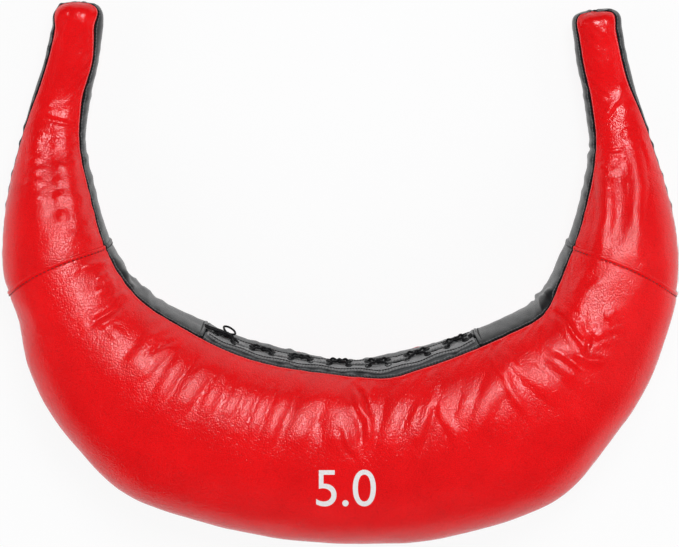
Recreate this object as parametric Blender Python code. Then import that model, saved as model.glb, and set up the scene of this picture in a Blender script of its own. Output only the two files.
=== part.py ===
"""Fitness power bag: a crescent of red leather panels and black gussets with two stuffed horns.

The bag lies on its back. X runs across the bag, Y from the round belly to the horn tips, and Z up
through its thickness. The origin is at the middle of its box, on the floor. Every piece of the
shell, the lining and the filling is a skin between stations that follow the crescent from its middle
(station 0) over the cross seam (station SEAM_STATION) to the start of the horn's round tip.
"""

import math

import bmesh
import bpy
from mathutils import Matrix, Vector

# Overall sizes of the stuffed bag
WIDTH = 0.5715
HEIGHT = 0.4595
THICKNESS = 0.130
GRIP_THICKNESS = 0.042
FLOOR_SETTLE = 0.005
GRIP_RISE = 0.010

# Leather, seams and clearances
PANEL = 0.0020
SEAM_GAP = 0.0005
CLEARANCE = 0.0003
WADDING_CLEARANCE = 0.0008
STUFFING_CLEARANCE = 0.0016
BELLY_GUSSET = 0.070
BELLY_OUTER_GUSSET = 0.048
GRIP_GUSSET = 0.030

# Cross seams, where each horn bends on the body
HINGE_RADIUS = 0.095
JOINT_GAP = 0.0008

# Laced opening in the inner gusset
LACING_HALF_LENGTH = 0.118
PLACKET_SLIT = 0.012
FLAP = 0.0012
FLAP_WIDTH = 0.020
TONGUE = 0.0012
TONGUE_OVERLAP = 0.010
EYELET_RADIUS = 0.0034
EYELET_HOLE_RADIUS = 0.0016
EYELET_RIM = 0.0006
EYELET_EDGE = 0.0065
HOLE_CUTTER_DEPTH = 0.007
LACE_DIAMETER = 0.0026
LACE_CLEARANCE = 0.0007
LACE_CROSSINGS = 7
LACE_END_MARGIN = 0.009
KNOT_LENGTH = 0.011
KNOT_WIDTH = 0.007

# Filling
WADDING = 0.014
POUCH_GAP = 0.002
TIP_KNOT_RADIUS = 0.0042
TIP_KNOT_STAND = 0.0020

# Stations from the middle of the belly to the start of the horn's tip, as shares of the half width
# and the height: the inner edge's x and y, then the outer edge's x and y
STATION_SHARES = (
    (0.000, 0.340, 0.000, 0.000),
    (0.179, 0.353, 0.343, 0.023),
    (0.357, 0.387, 0.641, 0.091),
    (0.508, 0.431, 0.840, 0.224),
    (0.609, 0.485, 0.954, 0.379),
    (0.681, 0.563, 0.995, 0.472),
    (0.723, 0.653, 0.986, 0.607),
    (0.749, 0.740, 0.929, 0.751),
    (0.733, 0.823, 0.886, 0.838),
    (0.709, 0.892, 0.854, 0.905),
    (0.693, 0.953, 0.838, 0.957),
)
# How far the thickness has gone from that of the belly (0) to that of the grip (1) at each station
TAPER_SHARES = (0.00, 0.00, 0.02, 0.11, 0.27, 0.37, 0.57, 0.84, 0.96, 0.98, 1.00)
SEAM_STATION = 5
LAST_STATION = len(STATION_SHARES) - 1
SECTION_POWER = 2.3
TIP_POWER = 3.0
BOW_REACH = 2.5

# Steps along the crescent and around its section, and the small step that measures along them
BODY_STEPS = 32
HORN_STEPS = 9
PANEL_TIP_SHARES = (0.15, 0.40, 0.70, 0.90)
GUSSET_TURN_SHARE = 0.97
GUSSET_TIP_SHARES = (0.35, 0.70, 1.00)
PANEL_STEPS = 8
GUSSET_STEPS = 4
RING_STEPS = 16
CAP_SHARES = (0.0, 0.5, 0.85)
DISC_SIDES = 8
KNOT_SEGMENTS = (12, 8)
MEASURE_STEP = 0.01
# Where a strand has its points in a crossing, from its middle, and how much of its lift it has there
CROSSING_SHARES = ((-0.25, 0.7), (0.0, 1.0), (0.25, 0.7))

# Angles around the section: the outer edge is at 0, the front's crown at a quarter turn
QUARTER = math.pi / 2
HALF = math.pi

COLOURS = {
    "red_leather": ((0.72, 0.012, 0.014, 1.0), 0.36, 0.0),
    "black_leather": ((0.022, 0.023, 0.024, 1.0), 0.45, 0.0),
    "grey_lining": ((0.16, 0.16, 0.16, 1.0), 0.60, 0.0),
    "black_cord": ((0.010, 0.010, 0.010, 1.0), 0.80, 0.0),
    "pale_wadding": ((0.70, 0.68, 0.63, 1.0), 0.95, 0.0),
    "sand_cloth": ((0.30, 0.26, 0.19, 1.0), 0.90, 0.0),
}


def clear_scene():
    for obj in list(bpy.data.objects):
        bpy.data.objects.remove(obj, do_unlink=True)


def new_collection(name):
    collection = bpy.data.collections.new(name)
    bpy.context.scene.collection.children.link(collection)
    return collection


def material(name):
    """The Principled material with this name, made once."""
    found = bpy.data.materials.get(name)
    if found:
        return found
    colour, roughness, metallic = COLOURS[name]
    found = bpy.data.materials.new(name)
    found.use_nodes = True
    shader = found.node_tree.nodes["Principled BSDF"]
    shader.inputs["Base Color"].default_value = colour
    shader.inputs["Roughness"].default_value = roughness
    shader.inputs["Metallic"].default_value = metallic
    return found


def interpolate(rows, station):
    """The row at a fractional station, on a smooth curve through the rows, alike on both halves."""
    low = min(int(station), len(rows) - 2)
    t = station - low

    def row(index):
        if index < 0:
            return mirrored_row(rows[-index])
        if index >= len(rows):
            return tuple(2 * a - b for a, b in zip(rows[-1], rows[-2]))
        return rows[index]

    before, start, end, after = (row(low + k) for k in (-1, 0, 1, 2))
    return tuple(
        0.5 * (2 * b + (c - a) * t + (2 * a - 5 * b + 4 * c - d) * t**2 + (3 * b - a - 3 * c + d) * t**3)
        for a, b, c, d in zip(before, start, end, after)
    )


def mirrored_row(row):
    """A station's row on the other half of the bag: x changes sign, all else stays."""
    if len(row) == 1:
        return row
    inner_x, inner_y, outer_x, outer_y = row
    return (-inner_x, inner_y, -outer_x, outer_y)


def seam_radius():
    """Half the width of the section at the cross seam."""
    inner_x, inner_y, outer_x, outer_y = STATION_SHARES[SEAM_STATION]
    return 0.5 * math.hypot((outer_x - inner_x) * WIDTH / 2, (outer_y - inner_y) * HEIGHT)


class Section:
    """The bag's cross section at a station of its right half."""

    def __init__(self, station):
        self.station = station
        on_crescent = min(station, LAST_STATION)
        inner_x, inner_y, outer_x, outer_y = interpolate(STATION_SHARES, on_crescent)
        inner = Vector((inner_x * WIDTH / 2, inner_y * HEIGHT - HEIGHT / 2))
        outer = Vector((outer_x * WIDTH / 2, outer_y * HEIGHT - HEIGHT / 2))
        self.middle = (inner + outer) / 2
        self.across = (outer - inner).normalized()
        self.along = Vector((-self.across.y, self.across.x))
        self.half_width = (outer - inner).length / 2
        (taper,) = interpolate([(share,) for share in TAPER_SHARES], on_crescent)
        thickness = THICKNESS + (GRIP_THICKNESS - THICKNESS) * taper
        self.half_thickness = thickness / 2
        self.floor = GRIP_RISE * max(0.0, (on_crescent - SEAM_STATION) / (LAST_STATION - SEAM_STATION))
        settle = FLOOR_SETTLE * (1 - taper)
        self.height = self.floor + self.half_thickness - settle / 2
        self.half_thickness += settle / 2
        self.inner_gusset = BELLY_GUSSET + (GRIP_GUSSET - BELLY_GUSSET) * taper
        self.outer_gusset = BELLY_OUTER_GUSSET + (GRIP_GUSSET - BELLY_OUTER_GUSSET) * taper
        tip = max(0.0, station - LAST_STATION)
        self.middle += self.along * (HEIGHT / 2 - TIP_KNOT_STAND - self.middle.y) * tip
        self.tip_share = (1 - tip**TIP_POWER) ** (1 / TIP_POWER)
        reach = (on_crescent - SEAM_STATION) / BOW_REACH
        self.bow = max(0.0, 1 - reach * reach) ** 2

    def seam_angle(self, gusset):
        """The angle from the mid plane at which a gusset of this width meets its panel."""
        share = min(1.0, gusset / 2 / (self.half_thickness * self.tip_share))
        return math.asin(share ** (SECTION_POWER / 2))

    def point(self, angle, inset, ring_share, radius):
        """A point at an angle around the section, below the outer surface by the inset."""
        swell = 2 / SECTION_POWER
        cosine, sine = math.cos(angle), math.sin(angle)
        out = math.copysign(abs(cosine) ** swell, cosine) * ring_share
        up = math.copysign(abs(sine) ** swell, sine) * ring_share
        out *= self.half_width * self.tip_share - inset
        height = self.height + up * (self.half_thickness * self.tip_share - inset)
        height = max(height, self.floor + inset)
        flat = self.middle + self.across * out + self.along * self.bow_at(out, radius)
        return Vector((flat.x, flat.y, height))

    def bow_at(self, out, radius):
        """How far the section bows towards the tip: at the cross seam, onto a circle on the hinge."""
        edge = seam_radius()
        scaled = out * edge / self.half_width
        arc = math.sqrt(radius * radius - scaled * scaled) - math.sqrt(HINGE_RADIUS**2 - edge * edge)
        return self.bow * arc


def bag_point(station, angle, inset=0.0, ring_share=1.0, radius=HINGE_RADIUS):
    """A point of the bag, on its left half where the station is negative."""
    place = Section(abs(station)).point(angle, inset, ring_share, radius)
    return Vector((-place.x, place.y, place.z)) if station < 0 else place


def hinge_centre(side):
    """The hinge axis of the horn on this side: the centre of the circle that its cross seam lies on."""
    seam = Section(SEAM_STATION)
    back = math.sqrt(HINGE_RADIUS**2 - seam_radius() ** 2)
    centre = seam.middle - seam.along * back
    return Vector((side * centre.x, centre.y, 0.0))


def skin(name, rings, paint, collection):
    """A closed object through rings of points, whose doubled points are merged."""
    count = len(rings[0])
    mesh_data = bpy.data.meshes.new(name)
    grid = bmesh.new()
    bmesh.ops.create_grid(grid, x_segments=count, y_segments=len(rings) - 1, size=1.0)
    grid.verts.ensure_lookup_table()
    for index, vertex in enumerate(grid.verts):
        row, column = divmod(index, count + 1)
        vertex.co = rings[row][column % count]
    bmesh.ops.remove_doubles(grid, verts=grid.verts, dist=CLEARANCE / 100)
    if grid.calc_volume(signed=True) < 0:
        bmesh.ops.reverse_faces(grid, faces=grid.faces)
    grid.to_mesh(mesh_data)
    grid.free()
    mesh_data.materials.append(material(paint))
    mesh_data.shade_smooth()
    mesh_data.set_sharp_from_angle(angle=QUARTER / 2)
    obj = bpy.data.objects.new(name, mesh_data)
    collection.objects.link(obj)
    return obj


def spread(start, end, steps):
    return [start + (end - start) * step / steps for step in range(steps + 1)]


def slab(name, stations, edges, insets, steps, paint, collection, radius=HINGE_RADIUS):
    """A sheet with an even wall that follows the bag between two edges.

    edges gives, for a station, the two angles that the sheet runs between. Each end is closed by a
    ring drawn in to the wall's middle."""
    outer, inner = insets
    middle = (outer + inner) / 2

    def ring(station, front, back):
        angles = spread(*edges(station), steps)
        there = [bag_point(station, angle, front, radius=radius) for angle in angles]
        return there + [bag_point(station, angle, back, radius=radius) for angle in reversed(angles)]

    first, last = stations[0], stations[-1]
    rings = [ring(first, middle, middle)]
    rings += [ring(station, outer, inner) for station in stations]
    rings.append(ring(last, middle, middle))
    return skin(name, rings, paint, collection)


def stuffing(name, stations, inset, paint, collection, radius=HINGE_RADIUS):
    """A closed round body that fills the section from station to station, with domed-off ends."""

    def ring(station, share):
        angles = [2 * HALF * step / RING_STEPS for step in range(RING_STEPS)]
        return [bag_point(station, angle, inset, share, radius) for angle in angles]

    rings = [ring(stations[0], share) for share in CAP_SHARES]
    rings += [ring(station, 1.0) for station in stations]
    rings += [ring(stations[-1], share) for share in reversed(CAP_SHARES)]
    return skin(name, rings, paint, collection)


def gap_angle(section, angle):
    """Half the seam's gap as an angle at this place of the section."""
    here = section.point(angle, 0.0, 1.0, HINGE_RADIUS)
    there = section.point(angle + MEASURE_STEP, 0.0, 1.0, HINGE_RADIUS)
    return MEASURE_STEP * SEAM_GAP / 2 / max((there - here).length, CLEARANCE)


def front_edges(station):
    """The front panel's outer and inner edges; it closes to nothing at the tip."""
    section = Section(abs(station))
    outer = section.seam_angle(section.outer_gusset)
    inner = HALF - section.seam_angle(section.inner_gusset)
    return outer + gap_angle(section, outer), inner - gap_angle(section, inner)


def back_edges(station):
    outer, inner = front_edges(station)
    return -outer, -inner


def outer_gusset_edges(station):
    section = Section(abs(station))
    edge = section.seam_angle(section.outer_gusset)
    edge -= gap_angle(section, edge)
    return edge, -edge


def inner_gusset_edges(station):
    section = Section(abs(station))
    edge = section.seam_angle(section.inner_gusset)
    edge -= gap_angle(section, HALF - edge)
    return HALF - edge, HALF + edge


def wall_angle(station, above_middle):
    """The angle of the inner wall's point that lies this far above the bag's mid plane."""
    section = Section(abs(station))
    share = above_middle / section.half_thickness
    return HALF - math.copysign(math.asin(abs(share) ** (SECTION_POWER / 2)), share)


def lacing_station():
    """The station of the laced opening's ends, found from its length along the inner edge."""
    station, length = 0.0, 0.0
    while length < LACING_HALF_LENGTH:
        length += (bag_point(station + MEASURE_STEP, HALF) - bag_point(station, HALF)).length
        station += MEASURE_STEP
    return station


def in_stations(length):
    """About how many stations a short length along the crescent takes up."""
    return length * LAST_STATION / WIDTH


def body_stations(low=-SEAM_STATION, high=SEAM_STATION, steps=BODY_STEPS):
    return spread(low, high, steps)


def horn_stations(side, tip_stations):
    return [side * station for station in spread(SEAM_STATION, LAST_STATION, HORN_STEPS) + tip_stations]


def dome_station(section_share):
    """The station at which the round tip has narrowed to this share of the grip's section."""
    return LAST_STATION + (1 - section_share**TIP_POWER) ** (1 / TIP_POWER)


def panel_tip_stations(shares):
    """Stations in the tip, as shares of the way to where the gussets take up the whole section."""
    end = GRIP_GUSSET / 2 / Section(LAST_STATION).half_thickness
    return [dome_station(1 - (1 - end) * share) for share in shares]


def gusset_tip_stations(shares):
    """Stations beyond the panels, as shares of the way from their end to the knot's hole."""
    grip = Section(LAST_STATION)
    start = GRIP_GUSSET / 2 / grip.half_thickness
    hole = (TIP_KNOT_RADIUS + CLEARANCE + PANEL) / grip.half_width
    return [dome_station(start - (start - hole) * share) for share in shares]


def make_body_shell(collection):
    """The two red panels and the black gussets between the cross seams."""
    radius = HINGE_RADIUS - JOINT_GAP / 2
    stations = body_stations()
    wall = (0.0, PANEL)
    slab("front_body_panel", stations, front_edges, wall, PANEL_STEPS, "red_leather", collection, radius)
    slab("back_body_panel", stations, back_edges, wall, PANEL_STEPS, "red_leather", collection, radius)
    slab("outer_body_gusset", stations, outer_gusset_edges, wall, GUSSET_STEPS, "black_leather",
         collection, radius)
    opening = lacing_station() + in_stations(SEAM_GAP)
    steps = BODY_STEPS // 4
    left = spread(-SEAM_STATION, -opening, steps)
    right = spread(opening, SEAM_STATION, steps)
    slab("left_inner_gusset", left, inner_gusset_edges, wall, GUSSET_STEPS, "black_leather",
         collection, radius)
    slab("right_inner_gusset", right, inner_gusset_edges, wall, GUSSET_STEPS, "black_leather",
         collection, radius)


def make_lacing(collection, cutters):
    """The placket, flaps, tongue and lace that close the bag along the inner gusset."""
    end = lacing_station() - in_stations(SEAM_GAP)
    stations = spread(-end, end, BODY_STEPS // 2)
    half_slit = PLACKET_SLIT / 2

    def front_placket(station):
        return inner_gusset_edges(station)[0], wall_angle(station, half_slit)

    def back_placket(station):
        return wall_angle(station, -half_slit), inner_gusset_edges(station)[1]

    def front_flap(station):
        return wall_angle(station, half_slit + FLAP_WIDTH), wall_angle(station, half_slit)

    def back_flap(station):
        return wall_angle(station, -half_slit), wall_angle(station, -half_slit - FLAP_WIDTH)

    def tongue(station):
        reach = half_slit + TONGUE_OVERLAP
        return wall_angle(station, reach), wall_angle(station, -reach)

    wall = (0.0, PANEL)
    slab("front_placket", stations, front_placket, wall, GUSSET_STEPS, "black_leather", collection)
    slab("back_placket", stations, back_placket, wall, GUSSET_STEPS, "black_leather", collection)
    flap_wall = (-CLEARANCE - FLAP, -CLEARANCE)
    front = slab("front_lacing_flap", stations, front_flap, flap_wall, 2, "grey_lining", collection)
    back = slab("back_lacing_flap", stations, back_flap, flap_wall, 2, "grey_lining", collection)
    add_eyelets(front, 1, cutters)
    add_eyelets(back, -1, cutters)
    behind = PANEL + WADDING_CLEARANCE
    tongue_wall = (behind, behind + TONGUE)
    slab("lacing_tongue", stations, tongue, tongue_wall, GUSSET_STEPS, "grey_lining", collection)
    make_lace(collection)


def wall_frame(station, above_middle):
    """A point of the inner wall with the wall's outward direction."""
    angle = wall_angle(station, above_middle)
    place = bag_point(station, angle)
    inside = bag_point(station, angle, PANEL)
    return place, (place - inside).normalized()


def eyelet_stations():
    """Pairs of stations, the two ends of each crossing of the lace, from left to right."""
    end = lacing_station()
    margin = end * LACE_END_MARGIN / LACING_HALF_LENGTH
    pitch = 2 * (end - margin) / (2 * LACE_CROSSINGS - 1)
    places = [-end + margin + pitch * step for step in range(2 * LACE_CROSSINGS)]
    return list(zip(places[0::2], places[1::2]))


def add_eyelets(flap, side, cutters):
    """Joins a raised rim to the flap at each eyelet and cuts its hole."""
    height = side * (PLACKET_SLIT / 2 + EYELET_EDGE)
    rims, holes = bmesh.new(), bmesh.new()
    for pair in eyelet_stations():
        for station in pair:
            place, out = wall_frame(station, height)
            turn = out.to_track_quat("Z", "Y").to_matrix().to_4x4()
            depth = FLAP / 2 + EYELET_RIM
            centre = place + out * (CLEARANCE + FLAP / 2 + depth / 2)
            add_disc(rims, EYELET_RADIUS, depth, Matrix.Translation(centre) @ turn)
            add_disc(holes, EYELET_HOLE_RADIUS, HOLE_CUTTER_DEPTH, Matrix.Translation(centre) @ turn)
    for label, cutter_mesh, operation in (("rims", rims, "UNION"), ("holes", holes, "DIFFERENCE")):
        cutter = cutter_object(f"{flap.name}_{label}", cutter_mesh, cutters)
        cut = flap.modifiers.new(label, "BOOLEAN")
        cut.operation = operation
        cut.solver = "MANIFOLD"
        cut.object = cutter


def add_disc(target, radius, depth, matrix):
    bmesh.ops.create_cone(target, cap_ends=True, segments=DISC_SIDES, radius1=radius, radius2=radius,
                          depth=depth, matrix=matrix)


def cutter_object(name, source, cutters):
    mesh_data = bpy.data.meshes.new(name)
    source.to_mesh(mesh_data)
    source.free()
    obj = bpy.data.objects.new(name, mesh_data)
    obj.hide_render = True
    obj.display_type = "WIRE"
    cutters.objects.link(obj)
    return obj


def lace_point(station, above_middle, lift):
    place, out = wall_frame(station, above_middle)
    rest = CLEARANCE + FLAP + EYELET_RIM + LACE_CLEARANCE + LACE_DIAMETER / 2
    return place + out * (rest + lift)


def strand(side, over):
    """One strand from left to right: it starts on the given side and changes side at each crossing."""
    height = PLACKET_SLIT / 2 + EYELET_EDGE
    lift = (LACE_DIAMETER + CLEARANCE) / 2
    points = []
    for start, end in eyelet_stations():
        middle = (start + end) / 2
        points.append(lace_point(start, side * height, 0.0))
        for share, lift_share in CROSSING_SHARES:
            station = middle + share * (end - start)
            above = -side * height * 2 * share
            points.append(lace_point(station, above, lift * (1 + over * lift_share)))
        side = -side
        points.append(lace_point(end, side * height, 0.0))
    return points


def make_lace(collection):
    """One unbroken cord in two strands that cross seven times, tied at the left end."""
    going = strand(1, 1.0)
    coming = strand(-1, -1.0)
    turn = lacing_station() - in_stations(LACE_END_MARGIN / 4)
    points = going + [lace_point(turn, 0.0, 0.0)] + coming[::-1]
    curve = bpy.data.curves.new("lace", "CURVE")
    curve.dimensions = "3D"
    curve.bevel_depth = LACE_DIAMETER / 2
    curve.bevel_resolution = 2
    curve.use_fill_caps = True
    line = curve.splines.new("POLY")
    line.points.add(len(points) - 1)
    for target, place in zip(line.points, points):
        target.co = (*place, 1.0)
    curve.materials.append(material("black_cord"))
    obj = bpy.data.objects.new("lace", curve)
    collection.objects.link(obj)
    make_lace_knot(collection, points[0], points[-1])


def make_lace_knot(collection, first, last):
    """The knot that ties the two ends of the lace, just beyond them."""
    middle = (first + last) / 2
    onward = Vector((middle.x, 0.0, 0.0)).normalized()
    place = middle + onward * (LACE_DIAMETER / 2 + CLEARANCE + KNOT_WIDTH / 2)
    make_ball("lace_knot", place, (KNOT_WIDTH, KNOT_WIDTH, KNOT_LENGTH), "black_cord", collection)


def make_ball(name, place, size, paint, collection):
    """A rounded knot of this size."""
    ball = bmesh.new()
    segments, rings = KNOT_SEGMENTS
    bmesh.ops.create_uvsphere(ball, u_segments=segments, v_segments=rings, radius=0.5)
    stretch = Matrix.Diagonal((*size, 1.0))
    bmesh.ops.transform(ball, matrix=Matrix.Translation(place) @ stretch, verts=ball.verts)
    mesh_data = bpy.data.meshes.new(name)
    ball.to_mesh(mesh_data)
    ball.free()
    mesh_data.materials.append(material(paint))
    mesh_data.shade_smooth()
    collection.objects.link(bpy.data.objects.new(name, mesh_data))


def make_body_filling(collection):
    """Wadding under both panels and three sand pouches between them."""
    radius = HINGE_RADIUS - JOINT_GAP / 2
    stations = body_stations()
    top = PANEL + WADDING_CLEARANCE
    wall = (top, top + WADDING)
    slab("front_wadding_pad", stations, front_edges, wall, PANEL_STEPS, "pale_wadding",
         collection, radius)
    slab("back_wadding_pad", stations, back_edges, wall, PANEL_STEPS, "pale_wadding",
         collection, radius)
    inset = top + WADDING + STUFFING_CLEARANCE
    third = SEAM_STATION / 3
    gap = in_stations(POUCH_GAP)
    steps = BODY_STEPS // 4
    for name, low, high in (
        ("left_sand_pouch", -SEAM_STATION, -third - gap),
        ("centre_sand_pouch", -third, third),
        ("right_sand_pouch", third + gap, SEAM_STATION),
    ):
        stuffing(name, spread(low, high, steps), inset, "sand_cloth", collection, radius)


def make_horn(side, prefix, collection):
    """A horn beyond the cross seam: four shell pieces, the tip's knot, its filling and grip core."""
    radius = HINGE_RADIUS + JOINT_GAP / 2
    wall = (0.0, PANEL)
    panel_tip = panel_tip_stations(PANEL_TIP_SHARES)
    panel = horn_stations(side, panel_tip)
    slab(f"{prefix}_horn_front_panel", panel, front_edges, wall, PANEL_STEPS, "red_leather",
         collection, radius)
    slab(f"{prefix}_horn_back_panel", panel, back_edges, wall, PANEL_STEPS, "red_leather",
         collection, radius)
    turn = panel_tip_stations([GUSSET_TURN_SHARE])
    gusset = horn_stations(side, panel_tip + turn + gusset_tip_stations(GUSSET_TIP_SHARES))
    slab(f"{prefix}_horn_inner_gusset", gusset, inner_gusset_edges, wall, GUSSET_STEPS,
         "black_leather", collection, radius)
    slab(f"{prefix}_horn_outer_gusset", gusset, outer_gusset_edges, wall, GUSSET_STEPS,
         "black_leather", collection, radius)
    grip_start = (SEAM_STATION + LAST_STATION) / 2
    gap = in_stations(POUCH_GAP)
    filling = [side * station for station in spread(SEAM_STATION, grip_start, HORN_STEPS // 2)]
    stuffing(f"{prefix}_horn_filling", filling, PANEL + STUFFING_CLEARANCE, "pale_wadding",
             collection, radius)
    core = spread(grip_start + gap, LAST_STATION, HORN_STEPS // 2) + panel_tip[:1]
    stuffing(f"{prefix}_grip_core", [side * station for station in core],
             PANEL + WADDING_CLEARANCE, "sand_cloth", collection, radius)
    make_tip_knot(side, prefix, collection)


def make_tip_knot(side, prefix, collection):
    """The small knot of gathered leather where both gussets meet at the horn's tip."""
    section = Section(LAST_STATION + 1)
    place = Vector((side * section.middle.x, HEIGHT / 2 - TIP_KNOT_RADIUS, section.height))
    make_ball(f"{prefix}_tip_knot", place, [2 * TIP_KNOT_RADIUS] * 3, "black_leather", collection)


def hang_on_hinge(side, prefix, collection):
    """Parents a horn's pieces to an empty on its hinge axis."""
    empty = bpy.data.objects.new(f"{prefix}_horn_hinge", None)
    empty.location = hinge_centre(side)
    collection.objects.link(empty)
    back = Matrix.Translation(-hinge_centre(side))
    for obj in collection.objects:
        if obj.type != "EMPTY" and obj.name.startswith((f"{prefix}_horn", f"{prefix}_grip", f"{prefix}_tip")):
            obj.parent = empty
            obj.matrix_parent_inverse = back


def main():
    clear_scene()
    bag = new_collection("fitness_power_bag")
    cutters = new_collection("cutters")
    make_body_shell(bag)
    make_lacing(bag, cutters)
    make_body_filling(bag)
    for side, prefix in ((-1, "left"), (1, "right")):
        make_horn(side, prefix, bag)
        hang_on_hinge(side, prefix, bag)


main()
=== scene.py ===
"""Fitness power bag: leather skins, gussets, lacing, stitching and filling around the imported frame.

Every skin is a grid over the bag's surface, which runs from station to station along the crescent
and by an angle around its section, as the CAD solids do. Creases and puckers are laid on it along
paths, given in the photograph's pixels.
"""

import math

import bmesh
import bpy
import numpy as np
from bpy.props import FloatProperty, FloatVectorProperty, PointerProperty, StringProperty
from mathutils import Matrix, Vector
from mathutils.bvhtree import BVHTree


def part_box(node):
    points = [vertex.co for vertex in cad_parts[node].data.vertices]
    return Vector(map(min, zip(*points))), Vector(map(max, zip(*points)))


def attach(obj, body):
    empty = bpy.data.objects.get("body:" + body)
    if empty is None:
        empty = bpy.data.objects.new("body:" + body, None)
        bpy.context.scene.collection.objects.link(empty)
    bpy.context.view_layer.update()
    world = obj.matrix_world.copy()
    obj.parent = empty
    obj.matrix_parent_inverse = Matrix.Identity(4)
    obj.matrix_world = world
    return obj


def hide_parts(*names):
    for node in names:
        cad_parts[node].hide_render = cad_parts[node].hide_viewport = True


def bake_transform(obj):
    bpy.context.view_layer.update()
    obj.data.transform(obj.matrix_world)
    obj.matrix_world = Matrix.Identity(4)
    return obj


bl_info = {
    "name": "Fitness power bag",
    "version": (1, 0, 0),
    "blender": (4, 5, 0),
    "location": "3D View > Sidebar > Power bag",
    "description": "Dresses the packed power bag in stitched leather, lacing and filling",
    "category": "Add Mesh",
}

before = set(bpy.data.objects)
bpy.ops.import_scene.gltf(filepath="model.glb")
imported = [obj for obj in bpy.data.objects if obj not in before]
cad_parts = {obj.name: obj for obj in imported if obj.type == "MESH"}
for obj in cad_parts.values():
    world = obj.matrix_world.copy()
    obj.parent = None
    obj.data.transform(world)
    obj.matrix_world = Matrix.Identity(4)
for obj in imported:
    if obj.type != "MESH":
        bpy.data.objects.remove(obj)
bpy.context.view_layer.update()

# The bag's sizes, as in the CAD source
WIDTH = 0.5715
HEIGHT = 0.4595
THICKNESS = 0.130
GRIP_THICKNESS = 0.042
FLOOR_SETTLE = 0.005
GRIP_RISE = 0.010
SEAM_GAP = 0.0005
BELLY_GUSSET = 0.070
BELLY_OUTER_GUSSET = 0.048
GRIP_GUSSET = 0.030
HINGE_RADIUS = 0.150
LACING_HALF_LENGTH = 0.118
PLACKET_SLIT = 0.012
LACE_CROSSINGS = 7
LACE_END_MARGIN = 0.009
TIP_KNOT_RADIUS = 0.0042
TIP_KNOT_STAND = 0.0020
STATION_SHARES = (
    (0.000, 0.340, 0.000, 0.000),
    (0.179, 0.353, 0.343, 0.023),
    (0.357, 0.387, 0.641, 0.091),
    (0.508, 0.431, 0.840, 0.224),
    (0.609, 0.485, 0.954, 0.379),
    (0.681, 0.563, 0.995, 0.472),
    (0.723, 0.653, 0.986, 0.607),
    (0.749, 0.740, 0.929, 0.751),
    (0.733, 0.823, 0.886, 0.838),
    (0.709, 0.892, 0.854, 0.905),
    (0.693, 0.953, 0.838, 0.957),
)
TAPER_SHARES = (0.00, 0.00, 0.02, 0.11, 0.27, 0.37, 0.57, 0.84, 0.96, 0.98, 1.00)
SEAM_STATION = 5
LAST_STATION = len(STATION_SHARES) - 1
SECTION_POWER = 2.3
TIP_POWER = 3.6
BOW_REACH = 2.5
QUARTER = math.pi / 2
HALF = math.pi
TURN = 2 * math.pi
SIDES = ((-1, "left"), (1, "right"))

# The leather's hems and cross seams, in metres
HEM_STEPS = (0.0, 0.0003, 0.0007, 0.0012, 0.0018, 0.0026, 0.0036, 0.0050)
HEM_DEPTH = 0.0034
BACKING_DEPTH = 0.0055
BACKING_COLUMNS = 7
CROSS_FOLD_LIFT = 0.0009
CROSS_FOLD_WIDTH = 0.0034
CROSS_TUCK = 0.0030
CROSS_STITCH_SETBACK = 0.0046
HORN_SINK = 0.0008
HORN_SINK_REACH = 0.006
TIP_STATION = LAST_STATION + 0.9995

# Rows and columns of the leather sheets' grids
FRONT_GRID = (440, 112)
BACK_GRID = (300, 84)
OUTER_GUSSET_GRID = (360, 34)
INNER_GUSSET_GRID = (120, 50)
PLACKET_GRID = (200, 26)
FLAP_GRID = (240, 24)
HORN_ROWS = 170
HORN_FRONT_COLUMNS = 74
HORN_BACK_COLUMNS = 60
HORN_GUSSET_COLUMNS = 34

# The photograph's size in pixels and its camera: the distance and tilt, the focal length in pixels,
# the sensor's width in millimetres and the millimetres that a pixel spans on the bag
PHOTO_SIZE = (679, 547)
CAMERA_DISTANCE = 1.85
CAMERA_TILT = math.radians(10.5)
CAMERA_TARGET = (0.0004, 0.00325, 0.060)
FOCAL_PIXELS = 2187.5
SENSOR = 36.0
PIXEL = 0.8457

# Where the stuffed bag leans away from its even shape, on the photograph: x, y, how far it goes to
# the right and up in millimetres, and the reach in millimetres
LEANS = (
    (8, 75, -4.2, 0.0, 40),
    (-6, 165, -3.6, 0.0, 42),
    (12, 316, 7.4, 1.0, 17),
    (85, 455, 2.6, 0.0, 30),
    (180, 522, 0.0, 4.2, 46),
    (275, 548, 0.0, 1.6, 34),
    (425, 545, 0.0, -2.2, 34),
    (495, 525, 0.0, -3.2, 42),
    (566, 492, 2.2, -3.0, 26),
    (665, 375, 4.8, -1.6, 34),
    (690, 255, 3.0, 0.0, 40),
    (608, 90, -2.3, 0.0, 48),
    (80, 4, 0.0, 2.0, 20),
    (580, 2, -1.0, -5.5, 16),
    (612, 4, -2.0, -3.0, 13),
    (530, 296, 3.6, -3.2, 18),
    (182, 316, 2.2, 4.0, 30),
)

# How much of the even inner gusset's front half shows, by station from the left tip to the right
FRONT_SHARES = (
    (-11.0, 0.35), (-10.6, 0.75), (-10.1, 1.05), (-9.5, 0.90), (-9.0, 0.80), (-8.5, 0.88),
    (-8.0, 1.0), (-7.2, 0.86), (-6.2, 0.70), (-5.0, 0.68), (-4.0, 0.72), (-3.0, 0.72),
    (-2.0, 0.72), (-1.2, 0.68), (-0.5, 0.66), (0.0, 0.75), (0.5, 0.92), (0.8, 1.04), (1.2, 0.94),
    (2.0, 0.91), (3.0, 0.96), (3.5, 1.05), (4.1, 0.88), (4.8, 0.72), (5.6, 0.75), (6.5, 0.85),
    (8.0, 0.95), (10.0, 0.80), (10.6, 0.70), (11.0, 0.40),
)

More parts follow.
